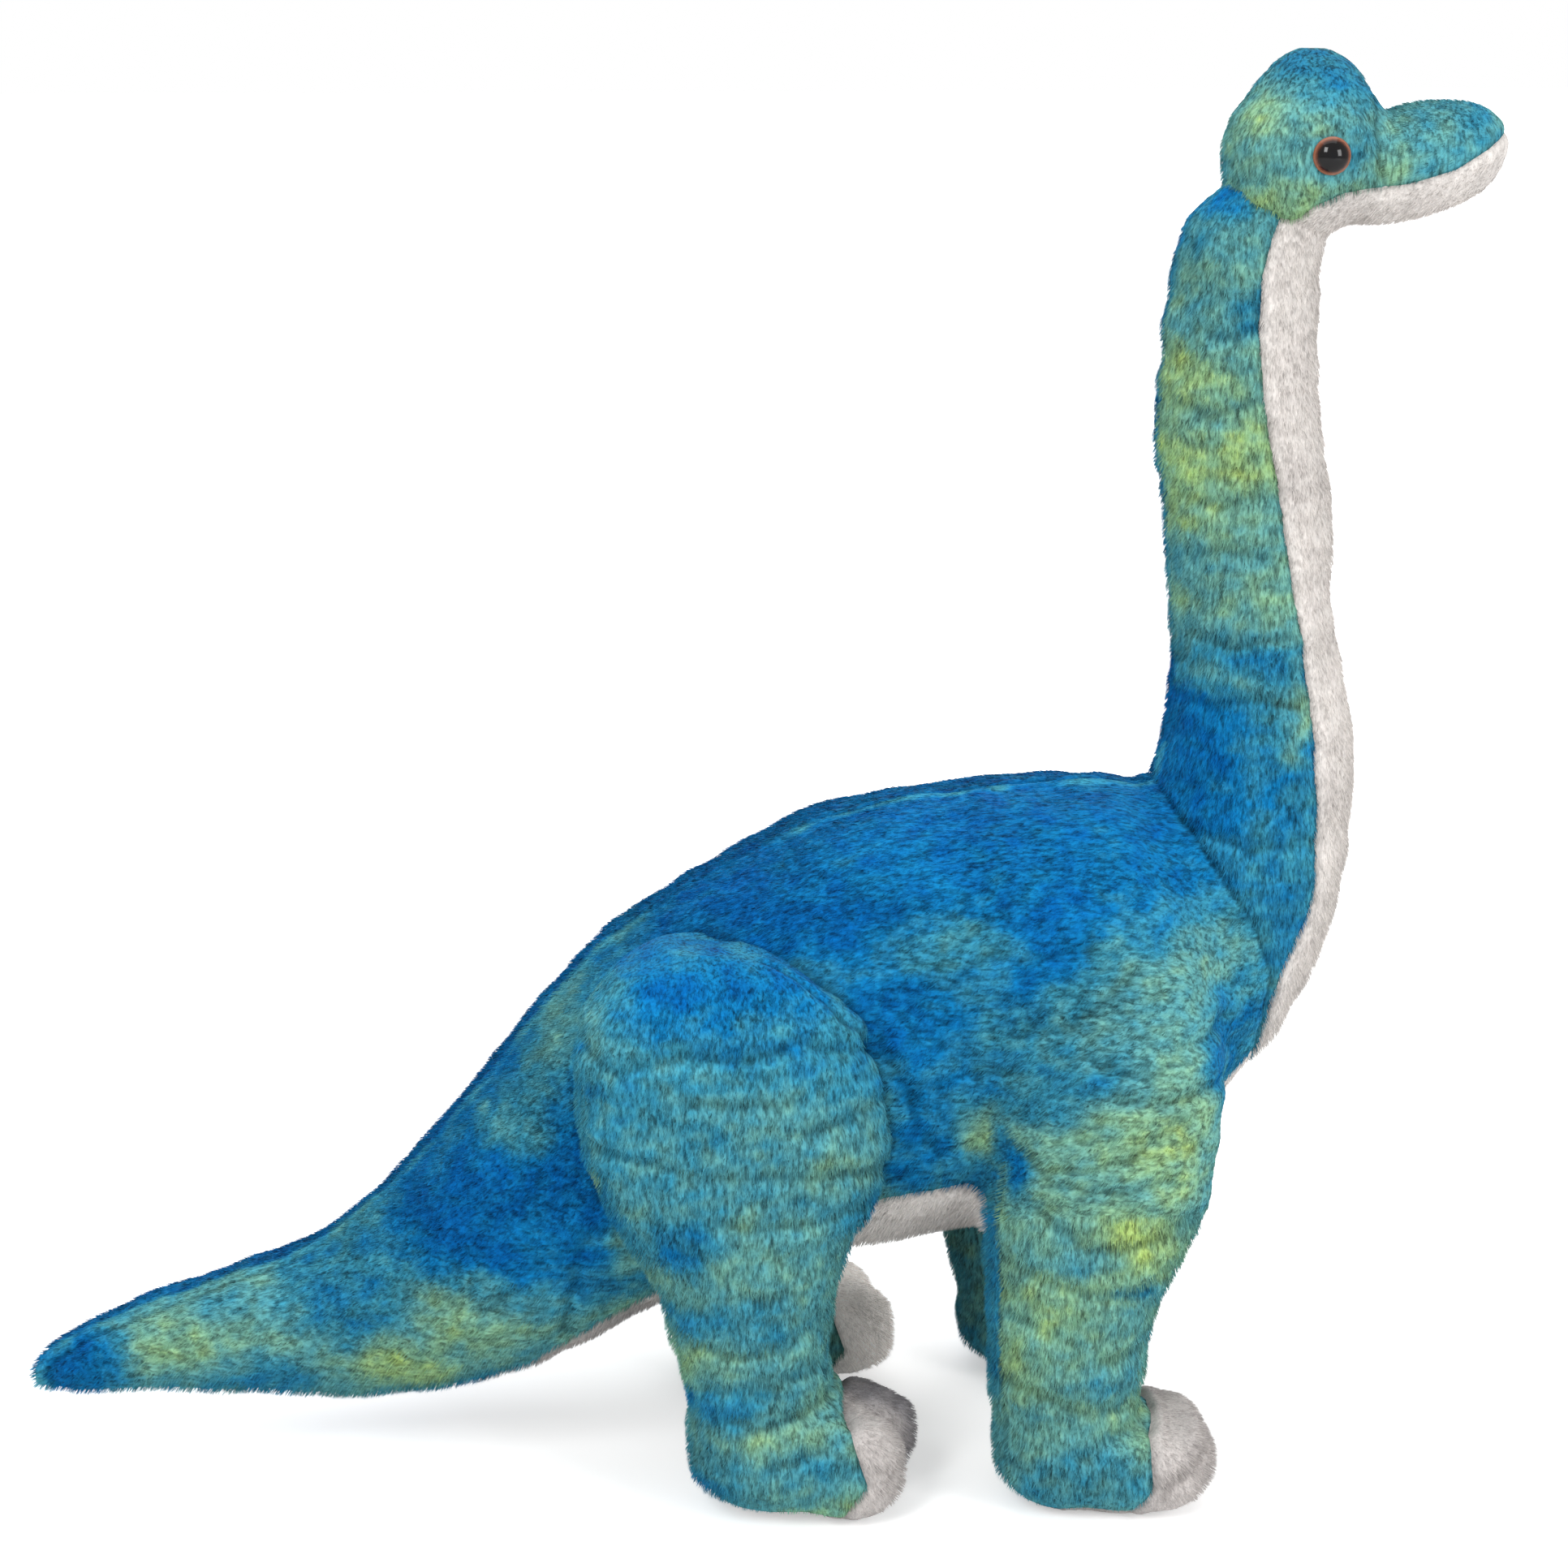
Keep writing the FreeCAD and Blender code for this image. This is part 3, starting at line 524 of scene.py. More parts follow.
def fore_top(x, y, z):
    """The cut between the body cover and a front leg, over the hem of the belly."""
    return (z - 76 - 0.51 * (np.abs(y) - 28)) / 1.12


def tail_top(x, y, z):
    return x + 70


def neck_top(x, y, z):
    return z - 330


def under(x, y, z):
    """True on the lower half of the trunk."""
    return z < line(x, [
        (-223, 24), (-150, 33), (-100, 45), (-68, 70), (-30, 100), (20, 110), (120, 120),
        (165, 140),
    ])


def trunk_panels(x, y, z):
    """Each point's panel, and how far it is from the nearest seam and the nearest cut."""
    by_leg = (np.abs(y) > LEG_INSIDE) & (x > LEG_BACK) & (x < LEG_FRONT)
    leg = (fore_top(x, y, z) < 0) & by_leg
    leg |= (z < 68) & (x > LEG_BACK)
    ahead = shoulder_seam(x, y, z) > 0
    neck = ahead & (z > 128) & ~leg
    throat = neck & (throat_seam(x, y, z) > 0)
    grey = ~leg & ~neck & under(x, y, z) & (belly_seam(x, y, z) < 0)
    tail = ~leg & ~neck & (x < -70) & ~grey
    right = back_seam(x, y, z) < 0
    toe = leg & (fore_toe_seam(x, y, z) > 0) & (z < 42)
    sole = leg & ~toe & (sole_seam(x, y, z) < 0)
    outer = fore_side_seam(x, y, z) > 0
    high = z > 330
    side = np.where(right, 0, 1)
    label = np.where(right, 0, 1)
    label = np.where(grey, 2, label)
    label = np.where(tail, 3 + side, label)
    label = np.where(neck & ~throat, 5 + side + 3 * high, label)
    label = np.where(throat, 7 + 3 * high, label)
    part = np.where(toe, 2, np.where(sole, 3, np.where(outer, 0, 1)))
    label = np.where(leg, 11 + part + np.where(y < 0, 0, 4), label)
    behind_leg = ~leg & (z < 114) & (x > 55) & (x < 84) & (np.abs(y) > 40)
    seams = [
        np.where(~leg & ~grey & ~throat & (z > 24), back_seam(x, y, z), FAR),
        np.where(~leg & (z > 132) & (z < 232) & ~throat, shoulder_seam(x, y, z), FAR),
        np.where(~leg & (z > 128), throat_seam(x, y, z), FAR),
        np.where(~leg & ~neck & under(x, y, z) & (x > -112), belly_seam(x, y, z), FAR),
        np.where(leg & ~toe & ~sole & (x < 96) | behind_leg, fore_side_seam(x, y, z), FAR),
        np.where(leg & (z < 40), fore_toe_seam(x, y, z), FAR),
        np.where(leg & ~toe, sole_seam(x, y, z), FAR),
    ]
    cuts = [
        np.where(by_leg, fore_top(x, y, z), FAR),
        tail_top(x, y, z),
        neck_top(x, y, z),
    ]
    return label, seams, cuts


TRUNK_NAMES = [
    "body_right", "body_left", "belly", "tail_right", "tail_left", "neck_lower_right",
    "neck_lower_left", "chest", "neck_upper_right", "neck_upper_left", "throat",
] + [f"front_{side}_{part}" for side in ("right", "left") for part in LEG_PIECES]


def head_panels(x, y, z):
    jaw = (mouth_seam(x, y, z) < 0) & (x > 150.5)
    snout = ~jaw & (forehead_seam(x, y, z) > 0)
    label = np.where(jaw, 3, np.where(snout, 2, np.where(y < 0, 0, 1)))
    seams = [
        np.where(x > 149, mouth_seam(x, y, z), FAR),
        np.where(~jaw, forehead_seam(x, y, z), FAR),
        np.where(~jaw & ~snout & (z > 386), y, FAR),
    ]
    return label, seams, []


def hind_panels(x, y, z):
    toe = (hind_toe_seam(x, y, z) > 0) & (z < 46)
    sole = ~toe & (sole_seam(x, y, z) < 0)
    outer = hind_side_seam(x, y, z) > 0
    label = np.where(toe, 2, np.where(sole, 3, np.where(outer, 0, 1)))
    seams = [
        np.where(z < 44, hind_toe_seam(x, y, z), FAR),
        np.where(~toe, sole_seam(x, y, z), FAR),
        np.where(~toe & ~sole & (x > 0), hind_side_seam(x, y, z), FAR),
    ]
    return label, seams, []


# ---------------------------------------------------------------- folds, lumps and dye

# Dye patches on the right side: x, z, half width, half height, and the colour, from 0 for blue to
# 1 for lime.
DYE = {
    "neck": [
        (130, 393, 9, 16, 0.02), (140, 377, 14, 5, 0.52), (134, 368, 12, 5, 0.68),
        (147, 357, 6, 4, 0.20), (134, 353, 10, 5, 0.50), (136, 345, 14, 4, 0.60),
        (127, 337, 11, 7, 0.88), (145, 328, 7, 7, 0.68), (140, 314, 15, 8, 0.88),
        (130, 296, 10, 8, 0.84), (150, 297, 8, 6, 0.56), (151, 284, 9, 5, 0.68),
        (133, 281, 12, 6, 0.56), (153, 271, 11, 5, 0.76), (138, 263, 14, 4, 0.48),
        (153, 254, 9, 3, 0.12), (136, 248, 14, 5, 0.50), (131, 230, 12, 11, 0.09),
        (158, 240, 8, 8, 0.54), (156, 226, 8, 5, 0.40), (154, 215, 10, 7, 0.30),
        (128, 207, 17, 15, 0.10), (148, 192, 12, 10, 0.30), (163, 174, 10, 12, 0.30),
        (161, 239, 3, 9, 0.75),
    ],
    "head": [
        (149, 414, 10, 8, 0.84), (168, 423, 13, 6, 0.30), (156, 429, 7, 3, 0.24),
        (176, 417, 7, 6, 0.34), (166, 411, 10, 5, 0.62), (150, 399, 10, 7, 0.60),
        (153, 386, 11, 6, 0.88), (178, 407, 6, 7, 0.50), (187, 411, 6, 5, 0.62),
        (200, 409, 10, 6, 0.50), (212, 413, 6, 5, 0.30), (186, 400, 5, 3, 0.80),
    ],
    "trunk": [
        (52, 206, 56, 10, 0.03), (99, 216, 22, 9, 0.10), (88, 179, 22, 13, 0.00),
        (16, 192, 47, 11, 0.12), (4, 180, 27, 7, 0.00), (59, 174, 17, 7, 0.42),
        (119, 187, 15, 9, 0.25), (136, 169, 16, 12, 0.66), (112, 165, 15, 9, 0.60),
        (100, 152, 15, 7, 0.50), (125, 144, 12, 9, 0.68), (139, 140, 7, 15, 0.20),
        (113, 122, 13, 9, 0.92), (89, 119, 12, 7, 0.75), (68, 116, 9, 8, 0.90),
        (48, 116, 7, 15, 0.15), (52, 142, 12, 12, 0.20), (40, 158, 15, 10, 0.05),
        (75, 141, 10, 7, 0.35), (109, 90, 13, 10, 0.97), (86, 107, 12, 7, 0.70),
        (76, 114, 3, 7, 0.10), (94, 85, 8, 4, 0.20), (84, 62, 9, 5, 0.90), (74, 52, 5, 5, 0.88),
        (87, 75, 15, 10, 0.80), (104, 46, 11, 5, 0.48), (100, 58, 14, 6, 0.66),
        (110, 75, 6, 2, 0.30), (112, 28, 6, 7, 0.84), (96, 16, 20, 9, 0.46), (83, 33, 10, 7, 0.62),
        (120, 110, 10, 7, 0.80), (127, 123, 7, 10, 0.92), (-71, 102, 16, 15, 0.00),
        (-91, 86, 16, 10, 0.00), (-70, 117, 10, 5, 0.50), (-58, 149, 6, 15, 0.60),
        (-56, 91, 10, 15, 0.10), (-50, 109, 7, 15, 0.03), (-79, 56, 18, 9, 0.92),
        (-108, 38, 20, 7, 0.96), (-131, 58, 15, 7, 0.30), (-116, 69, 12, 5, 0.30),
        (-148, 45, 13, 6, 0.64), (-181, 40, 16, 7, 0.82), (-211, 32, 11, 11, 0.00),
        (-155, 58, 12, 4, 0.55), (-69, 64, 12, 7, 0.42),
    ],
    "hind": [
        (-20, 166, 29, 7, 0.05), (3, 154, 15, 7, 0.36), (-45, 154, 6, 15, 0.50),
        (-32, 127, 15, 12, 0.42), (11, 133, 23, 7, 0.52), (28, 155, 9, 12, 0.35),
        (-9, 115, 17, 7, 0.50), (26, 116, 9, 10, 0.62), (-2, 50, 24, 34, 0.50),
        (-21, 92, 7, 8, 0.18), (7, 86, 15, 13, 0.60), (-9, 69, 14, 4, 0.34), (-20, 54, 9, 6, 0.74),
        (-12, 38, 8, 4, 0.16), (7, 31, 13, 4, 0.76), (18, 37, 6, 5, 0.70), (-15, 14, 8, 4, 0.20),
        (4, 17, 16, 6, 0.50), (-47, 102, 2, 6, 1.00),
    ],
}


def dye_and_shade(p, kind, seed, lie):
    """The dye's colour at p and its lightness, each from 0 to 1; the lightness holds some painted
    shade.

    lie is the size of a tuft along each axis.
    """
    x, y, z = p.T
    warp = np.stack([noise(p, 17, seed + k) for k in range(3)], 1) * 5
    q = p + warp
    t = 0.36 + 0.3 * layers(q, (60, 60, 34), seed + 5) + 0.16 * noise(q, (22, 22, 9), seed + 9)
    height = z + 9 * noise(p, 20, seed + 60)
    t = t + 0.34 * ramp(height, 236, 286) - 0.14 * ramp(z, 345, 370)
    t = t - 0.14 * ramp(z, 120, 190) * (z < 250)
    t = t + 0.22 * (1 - ramp(z, 70, 110)) * ramp(x, -60, -40)
    for cx, cz, rx, rz, value in DYE[kind] + (DYE["neck"] if kind == "trunk" else []):
        dx, dz = (q[:, 0] - cx) / (rx * 1.35), (q[:, 2] - cz) / (rz * 1.4)
        near = np.exp(-((dx * dx + dz * dz) ** 1.4)) * ramp(-y, -6, 8)
        t = t + (value - t) * 0.92 * near
    # a light line beside the seam along the back
    edge = ramp(-y, 0, 1.5) * (1 - ramp(-y, 4, 8)) * (z < 225)
    edge = edge * np.maximum(ramp(z, 190, 200), ramp(-x, 20, 50))
    t = t + (0.5 - t) * 0.6 * edge * ramp(noise(p, 14, seed + 61), -0.5, 0.1)
    if kind == "trunk":
        # the blue back edge of the right front leg's inner panel
        strip = (fore_side_seam(x, y, z) < 0) & (y < -40) & (x > 55) & (x < 96)
        t = t + (0.26 - t) * 0.85 * strip * ramp(z, 30, 48) * (1 - ramp(z, 108, 118))
    # the far side of the back: dyed deep blue, and painted darker as shade
    far_back_dye_and_shade = ramp(y, -3, 2) * (1 - ramp(y, 16, 34)) * ramp(-x, -150, -110)
    far_back_dye_and_shade = far_back_dye_and_shade * np.maximum(ramp(z, 150, 180), ramp(-x, 20, 50))
    t = t + (0.08 - t) * 0.9 * far_back_dye_and_shade
    t = t + 0.13 * layers(p, 7, seed + 20, 2) + 0.09 * noise(p, (9, 9, 3), seed + 30)
    light = 0.5 + 0.26 * layers(p, (30, 30, 15), seed + 40, 3) + 0.1 * noise(p, 4, seed + 50)
    # painted shade: the far side of the back darker
    light = light + 0.3 * noise(p, lie, seed + 55) - 0.3 * far_back_dye_and_shade + 0.2 * edge
    # painted shade: the top of the head darker, against the light from above
    light = light - 0.3 * ramp(z, 412, 424)
    return t.clip(0, 1), light.clip(0, 1)


# Folds on the right side, each a line of x, z points.
FOLDS = {
    "hind": [
        [(-26, 62), (-6, 57), (6, 59), (16, 64)], [(-17, 45), (3, 47), (17, 50)],
        [(-8, 37), (0, 35), (13, 37), (21, 40)], [(3, 22), (13, 25), (25, 29)],
        [(-3, 77), (13, 77)], [(-23, 151), (-5, 149), (10, 153), (35, 147)],
        [(-21, 136), (10, 136)], [(14, 127), (25, 130), (29, 132), (38, 132)],
        [(-50, 121), (-40, 120), (-20, 115), (14, 114), (37, 112)],
        [(-11, 100), (7, 99), (33, 102)], [(-53, 151), (-42, 145), (-20, 151)],
        [(27, 33), (36, 33), (43, 28)],
    ],
    "trunk": [
        [(74, 120), (80, 116), (86, 110), (106, 107), (121, 110)],
        [(79, 103), (90, 94), (96, 90), (107, 90), (126, 96)],
        [(73, 84), (92, 77), (107, 74), (122, 80)], [(77, 65), (86, 64), (92, 60)],
        [(101, 53), (114, 54)], [(75, 44), (83, 43), (95, 37), (108, 35)],
        [(96, 23), (107, 28), (116, 29)], [(119, 11), (129, 17), (135, 22)],
        [(37, 149), (45, 131), (48, 121), (55, 113)], [(57, 166), (72, 176)],
        [(62, 139), (76, 140)], [(77, 172), (98, 176)],
        [(76, 152), (90, 154), (103, 164), (112, 170)],
        [(98, 145), (113, 141), (125, 148), (139, 151)],
        [(78, 116), (87, 114), (104, 116), (123, 127)], [(104, 135), (122, 133), (136, 135)],
        [(-50, 88), (-54, 77), (-57, 52)], [(-71, 68), (-81, 60)],
        [(128, 262), (142, 258), (158, 262)], [(126, 284), (140, 288), (150, 286)],
        [(125, 303), (138, 300), (148, 303)], [(124, 330), (136, 327), (147, 331)],
        [(135, 240), (150, 243), (162, 240)], [(128, 205), (146, 199), (160, 200)],
        [(130, 352), (140, 349), (148, 352)],
    ],
    "head": [[(150, 384), (158, 379)], [(172, 418), (180, 410)]],
}


def creases(p, size, seed, width=0.13):
    """1 along wavy lines, which fade in and out."""
    n = noise(p + noise(p, 25, seed + 3)[:, None] * 4, size, seed)
    return bell(n, width) * ramp(noise(p, 24, seed + 8), -0.1, 0.5)


def nearest_fold(p, lines):
    """How far, seen from the side, each point is from the nearest fold of the right side."""
    here = p[:, [0, 2]] + np.stack([noise(p, 9, 91), noise(p, 9, 92)], 1) * 1.6
    best = np.full(len(p), FAR)
    for points in lines:
        for a, b in zip(np.array(points[:-1], float), np.array(points[1:], float)):
            t = ((here - a) @ (b - a) / ((b - a) @ (b - a))).clip(0, 1)
            best = np.minimum(best, np.hypot(*(here - a - t[:, None] * (b - a)).T))
    return np.where(p[:, 1] < RIGHT_SIDE, best, FAR)


def relief(p, seam, seed, limb, lines):
    """How far each point stands out: lumps of stuffing, folds, sunk seams and tufts of pile."""
    out = 1.1 * layers(p, 38, seed, 2) + 0.9 * noise(p, (15, 15, 8), seed + 4)
    far = nearest_fold(p, lines)
    depth = 0.8 + 0.35 * noise(p, 14, seed + 25)
    out = out - 1.5 * depth * bell(far, 2.0) + 0.6 * depth * bell(far - 5.0, 2.6)
    # the folds of the right side have their own places, so few are made by noise
    fold = creases(p, (34, 34, 11), seed + 11) * np.where(p[:, 1] < RIGHT_SIDE, 0.35, 1.0)
    out = out - (0.7 + 0.5 * limb) * fold
    fold = np.maximum(0.45 * fold, depth * bell(far, 1.1))
    out = out + (0.25 + 0.25 * limb) * noise(p, (30, 30, 6), seed + 14)
    tuft = noise(p, (1.7, 1.7, 2.8), seed + 17) * 0.16
    out = out + tuft
    pucker = 0.7 + 0.5 * noise(p, 5, seed + 21)
    out = out - 1.25 * bell(seam, 1.0) * pucker + 0.45 * bell(seam - 3.2, 1.8)
    return out, fold


# ---------------------------------------------------------------- materials


def srgb(*c):
    return [((v / 255 + 0.055) / 1.055) ** 2.4 if v > 10 else v / 255 / 12.92 for v in c] + [1.0]


DYES = [
    (0.0, srgb(2, 86, 148)), (0.18, srgb(12, 105, 155)), (0.38, srgb(50, 127, 150)),
    (0.58, srgb(86, 144, 143)), (0.78, srgb(117, 160, 131)), (0.92, srgb(143, 175, 119)),
    (1.0, srgb(160, 186, 109)),
]
GREYS = [
    (0.0, srgb(118, 116, 120)), (0.3, srgb(158, 153, 152)), (0.6, srgb(188, 182, 179)),
    (0.85, srgb(203, 198, 194)), (1.0, srgb(226, 221, 217)),
]


class Graph:
    """A short way to write a material's nodes."""

    def __init__(self, name):
        self.material = bpy.data.materials.new(name)
        self.tree = nodes_of(self.material)

    def node(self, kind, inputs=(), **settings):
        made = self.tree.nodes.new(kind)
        for key, value in settings.items():
            setattr(made, key, value)
        for key, value in dict(inputs).items():
            if isinstance(value, bpy.types.NodeSocket):
                self.tree.links.new(value, made.inputs[key])
            else:
                made.inputs[key].default_value = value
        return made

    def sum(self, operation, *values):
        return self.node("ShaderNodeMath", dict(enumerate(values)), operation=operation).outputs[0]

    def ramp(self, factor, stops):
        made = self.node("ShaderNodeValToRGB", {"Fac": factor})
        spots = made.color_ramp.elements
        for k, (place, colour) in enumerate(stops):
            spot = spots[k] if k < 2 else spots.new(place)
            spot.position, spot.color = place, colour
        return made.outputs["Color"]

    def noise(self, vector, scale, detail, roughness=0.5, distortion=0.0):
        return self.node("ShaderNodeTexNoise", {
            "Vector": vector, "Scale": scale, "Detail": detail, "Roughness": roughness,
            "Distortion": distortion,
        }).outputs["Fac"]

    def stretched(self, vector, factors):
        return self.node("ShaderNodeMapping", {"Vector": vector, "Scale": factors}).outputs[0]

    def scaled(self, vector, factor):
        made = self.node("ShaderNodeVectorMath", {0: vector}, operation="SCALE")
        self.tree.links.new(factor, made.inputs["Scale"])
        return made.outputs[0]

    def finish(self, inputs):
        """Ends the material in one principled shader."""
        shader = self.node("ShaderNodeBsdfPrincipled", inputs)
        self.node("ShaderNodeOutputMaterial", {"Surface": shader.outputs[0]})
        return self.material


def plush(name, stops, stretch, depth):
    """Short pile in the colours of stops, picked by the piece's own map of dye and painted shade.

    stretch gives how fast the tufts change along each axis, and depth how dark their gaps are
    painted, as shade.
    """
    g = Graph(name)
    rest = g.node("ShaderNodeAttribute", attribute_name="rest").outputs["Vector"]
    paint = g.node("ShaderNodeAttribute", attribute_name="dye_and_shade").outputs["Color"]
    paint = g.node("ShaderNodeSeparateColor", {0: paint})
    hair = g.node("ShaderNodeHairInfo")
    strand = hair.outputs["Is Strand"]
    # cloth has its own places at rest, in mm, and hair only has the object's, in metres
    place = g.node("ShaderNodeTexCoord").outputs["Object"]
    place = g.scaled(place, g.sum("MULTIPLY", strand, 1000.0))
    place = g.node("ShaderNodeVectorMath", {0: place, 1: rest}, operation="ADD").outputs[0]
    tuft = g.node("ShaderNodeMapRange", {
        "Value": g.noise(g.stretched(place, [v * 0.45 for v in stretch]), 1.0, 2.0, 0.55, 0.4),
        "From Min": 0.36, "From Max": 0.58, "To Min": -0.42, "To Max": 0.12,
    }).outputs["Result"]
    pile = g.noise(g.stretched(rest, stretch), 1.0, 3.0, 0.6, 0.3)
    fleck = g.noise(rest, 0.22, 4.0, 0.65)
    blend = g.sum("MULTIPLY_ADD", g.sum("SUBTRACT", fleck, 0.5), 0.22, paint.outputs[0])
    colour = g.ramp(blend, stops)
    own = g.sum("MULTIPLY", strand, g.sum("SUBTRACT", hair.outputs["Random"], 0.5))
    # painted shade: the cloth under the hair is darker where its pile is low
    gap = g.sum("MULTIPLY", g.sum("SUBTRACT", pile, 0.5), g.sum("SUBTRACT", 1.0, strand))
    light = g.sum("MULTIPLY_ADD", paint.outputs[1], 0.7, 0.7)
    light = g.sum("MULTIPLY_ADD", own, 0.6, light)
    light = g.sum("MULTIPLY_ADD", gap, 0.9, light)
    light = g.sum("MULTIPLY_ADD", tuft, depth, light)
    # painted shade from the map's third channel, along seams, in folds and where parts meet
    light = g.sum("MULTIPLY", light, g.sum("MULTIPLY_ADD", paint.outputs[2], -0.55, 1.0))
    bump = g.node("ShaderNodeBump", {"Height": pile, "Strength": 0.6, "Distance": 0.0006})
    return g.finish({
        "Base Color": g.scaled(colour, light), "Normal": bump.outputs[0],
        "Roughness": g.sum("MULTIPLY_ADD", pile, -0.15, 0.93), "Specular IOR Level": 0.04,
        "Sheen Weight": 0.02, "Sheen Roughness": 0.5,
    })


def eye_plastic(name, centre):
    """Glossy: a black pupil, a dark brown fade and a copper ring about the eye's own axis."""
    g = Graph(name)
    place = g.node("ShaderNodeTexCoord").outputs["Object"]
    middle = (centre[0], 0, centre[2])
    off = g.node("ShaderNodeVectorMath", {0: place, 1: middle}, operation="SUBTRACT").outputs[0]
    off = g.node("ShaderNodeVectorMath", {0: off, 1: (1, 0, 1)}, operation="MULTIPLY").outputs[0]
    r = g.node("ShaderNodeVectorMath", {0: off}, operation="LENGTH").outputs["Value"]
    cloud = g.sum("SUBTRACT", g.noise(place, 900.0, 3.0), 0.5)
    r = g.sum("MULTIPLY_ADD", cloud, 0.0004, r)
    colour = g.ramp(g.sum("DIVIDE", r, EYE_R), [
        (0.0, (0.002, 0.002, 0.003, 1)), (0.7, (0.003, 0.002, 0.002, 1)),
        (0.78, (0.02, 0.006, 0.003, 1)), (0.86, (0.13, 0.04, 0.02, 1)),
        (0.93, (0.27, 0.1, 0.055, 1)), (1.0, (0.16, 0.06, 0.035, 1)),
    ])
    return g.finish({
        "Base Color": colour, "Roughness": 0.12, "Coat Weight": 0.3, "Coat Roughness": 0.03,
        "Specular IOR Level": 0.15,
    })


def washer_plastic():
    g = Graph("washer_plastic")
    place = g.node("ShaderNodeTexCoord").outputs["Object"]
    grain = g.noise(place, 700.0, 4.0)
    colour = g.ramp(grain, [(0.3, srgb(205, 205, 200)), (0.7, srgb(230, 230, 226))])
    bump = g.node("ShaderNodeBump", {"Height": grain, "Strength": 0.2, "Distance": 0.0002})
    return g.finish({"Base Color": colour, "Roughness": 0.45, "Normal": bump.outputs[0]})


# ---------------------------------------------------------------- pieces


def cover(name, p, quads, n, attributes, material):
    """One panel of cloth as a Blender object, with its dye, its painted shade and its places at
    rest.
    """
    used, index = np.unique(quads, return_inverse=True)
    quads = index.reshape(-1, 4)
    me = bpy.data.meshes.new(name)
    me.vertices.add(len(used))
    me.vertices.foreach_set("co", (p[used] * MM).astype(np.float32).ravel())
    me.loops.add(quads.size)
    me.loops.foreach_set("vertex_index", quads.astype(np.int32).ravel())
    me.polygons.add(len(quads))
    me.polygons.foreach_set("loop_start", np.arange(0, quads.size, 4, dtype=np.int32))
    me.polygons.foreach_set("use_smooth", np.ones(len(quads), bool))
    me.update(calc_edges=True)
    me.normals_split_custom_set_from_vertices(n[used])
    layer = me.attributes.new("rest", "FLOAT_VECTOR", "POINT")
    layer.data.foreach_set("vector", attributes["rest"][used].astype(np.float32).ravel())
    paint = np.concatenate([attributes["dye_and_shade"][used], np.ones((len(used), 1))], 1).clip(0, 1)
    layer = me.color_attributes.new("dye_and_shade", "BYTE_COLOR", "CORNER")
    layer.data.foreach_set("color", paint[quads.ravel()].astype(np.float32).ravel())
    me.materials.append(material)
    obj = bpy.data.objects.new(name, me)
    bpy.context.collection.objects.link(obj)
    group = obj.vertex_groups.new(name="pile")
    level = np.round(attributes["pile"][used] * PILE_LEVELS)
    for k in range(PILE_LEVELS + 1):
        group.add(np.flatnonzero(level == k).tolist(), k / PILE_LEVELS, "REPLACE")
    return obj


def pile(obj, comb, length, seed):
    """Short hair of about length, in metres, combed along comb."""
    me = obj.data
    areas = np.empty(len(me.polygons), np.float32)
    me.polygons.foreach_get("area", areas)
    made = obj.modifiers.new("pile", "PARTICLE_SYSTEM").particle_system
    made.seed = seed
    s = made.settings
    s.type = "HAIR"
    s.use_advanced_hair = True
    s.count = max(50, int(areas.sum() * 1e6 * HAIRS_PER_MM2))
    s.emit_from = "FACE"
    s.distribution = "RAND"
    s.use_even_distribution = True
    s.hair_step = 3
    s.display_step = s.render_step = 2
    speed = length * SPEED_PER_LENGTH
    s.normal_factor = 0.52 * speed
    s.object_align_factor = [c * 0.85 * speed for c in comb]
    s.factor_random = 0.2 * speed
    s.root_radius, s.tip_radius = 1.0, 0.25
    s.radius_scale = HAIR_RADIUS
    s.material = 1
    made.vertex_group_density = made.vertex_group_length = "pile"


def component(field, low, high, panels):
    """The surface cut into panels along its seams.

    Returns points, quads, each quad's panel and each point's distance from a seam.
    """
    p, quads = surface(field, low, high)
    p = settle(field, relax(p, quads, 2), 2)
    p, quads = halve(p, quads)
    p = settle(field, relax(p, quads, 1), 2)
    n = normals(p, quads)
    _, g = slope(field, p[:50])
    if (n[:50] * g).sum() < 0:
        quads = quads[:, ::-1]
    label, _, _ = panels(*p[quads].mean(1).T)
    low_label = np.full(len(p), 99)
    high_label = np.full(len(p), -1)
    for k in range(4):
        np.minimum.at(low_label, quads[:, k], label)
        np.maximum.at(high_label, quads[:, k], label)
    edge = np.flatnonzero(low_label != high_label)
    for _ in range(3):
        e = p[edge]

        def nearest(q):
            _, seams, cuts = panels(*q.T)
            return np.array(seams + cuts)

        g0 = nearest(e)
        pick = np.abs(g0).argmin(0)
        value = g0[pick, np.arange(len(e))]
        step = 0.1
        moved = [nearest(e + d)[pick, np.arange(len(e))] - value for d in np.eye(3) * step]
        grad = np.stack(moved, 1) / step
        size = (grad**2).sum(1)
        ok = (np.abs(value) < 1.3) & (size > 0.3) & (size < 4)
        p[edge[ok]] = e[ok] - grad[ok] * (value[ok] / size[ok])[:, None]
        p[edge] = settle(field, p[edge], 1)
    _, seams, _ = panels(*p.T)
    seam = np.abs(np.array(seams)).min(0)
    return p, quads, label, seam


bpy.context.scene.view_settings.view_transform = "Standard"
camera()
studio()
floor()

PLUSH = {
    "down": plush("teal_plush_down", DYES, (1.9, 1.9, 0.55), 1.25),
    "along": plush("teal_plush_along", DYES, (0.6, 1.9, 1.6), 1.25),
    "grey": plush("grey_plush", GREYS, (1.9, 1.9, 0.6), 0.25),
}
EYES = [np.mean(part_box(f"eye_{side}"), 0) * 1000 for side in ("right", "left")]


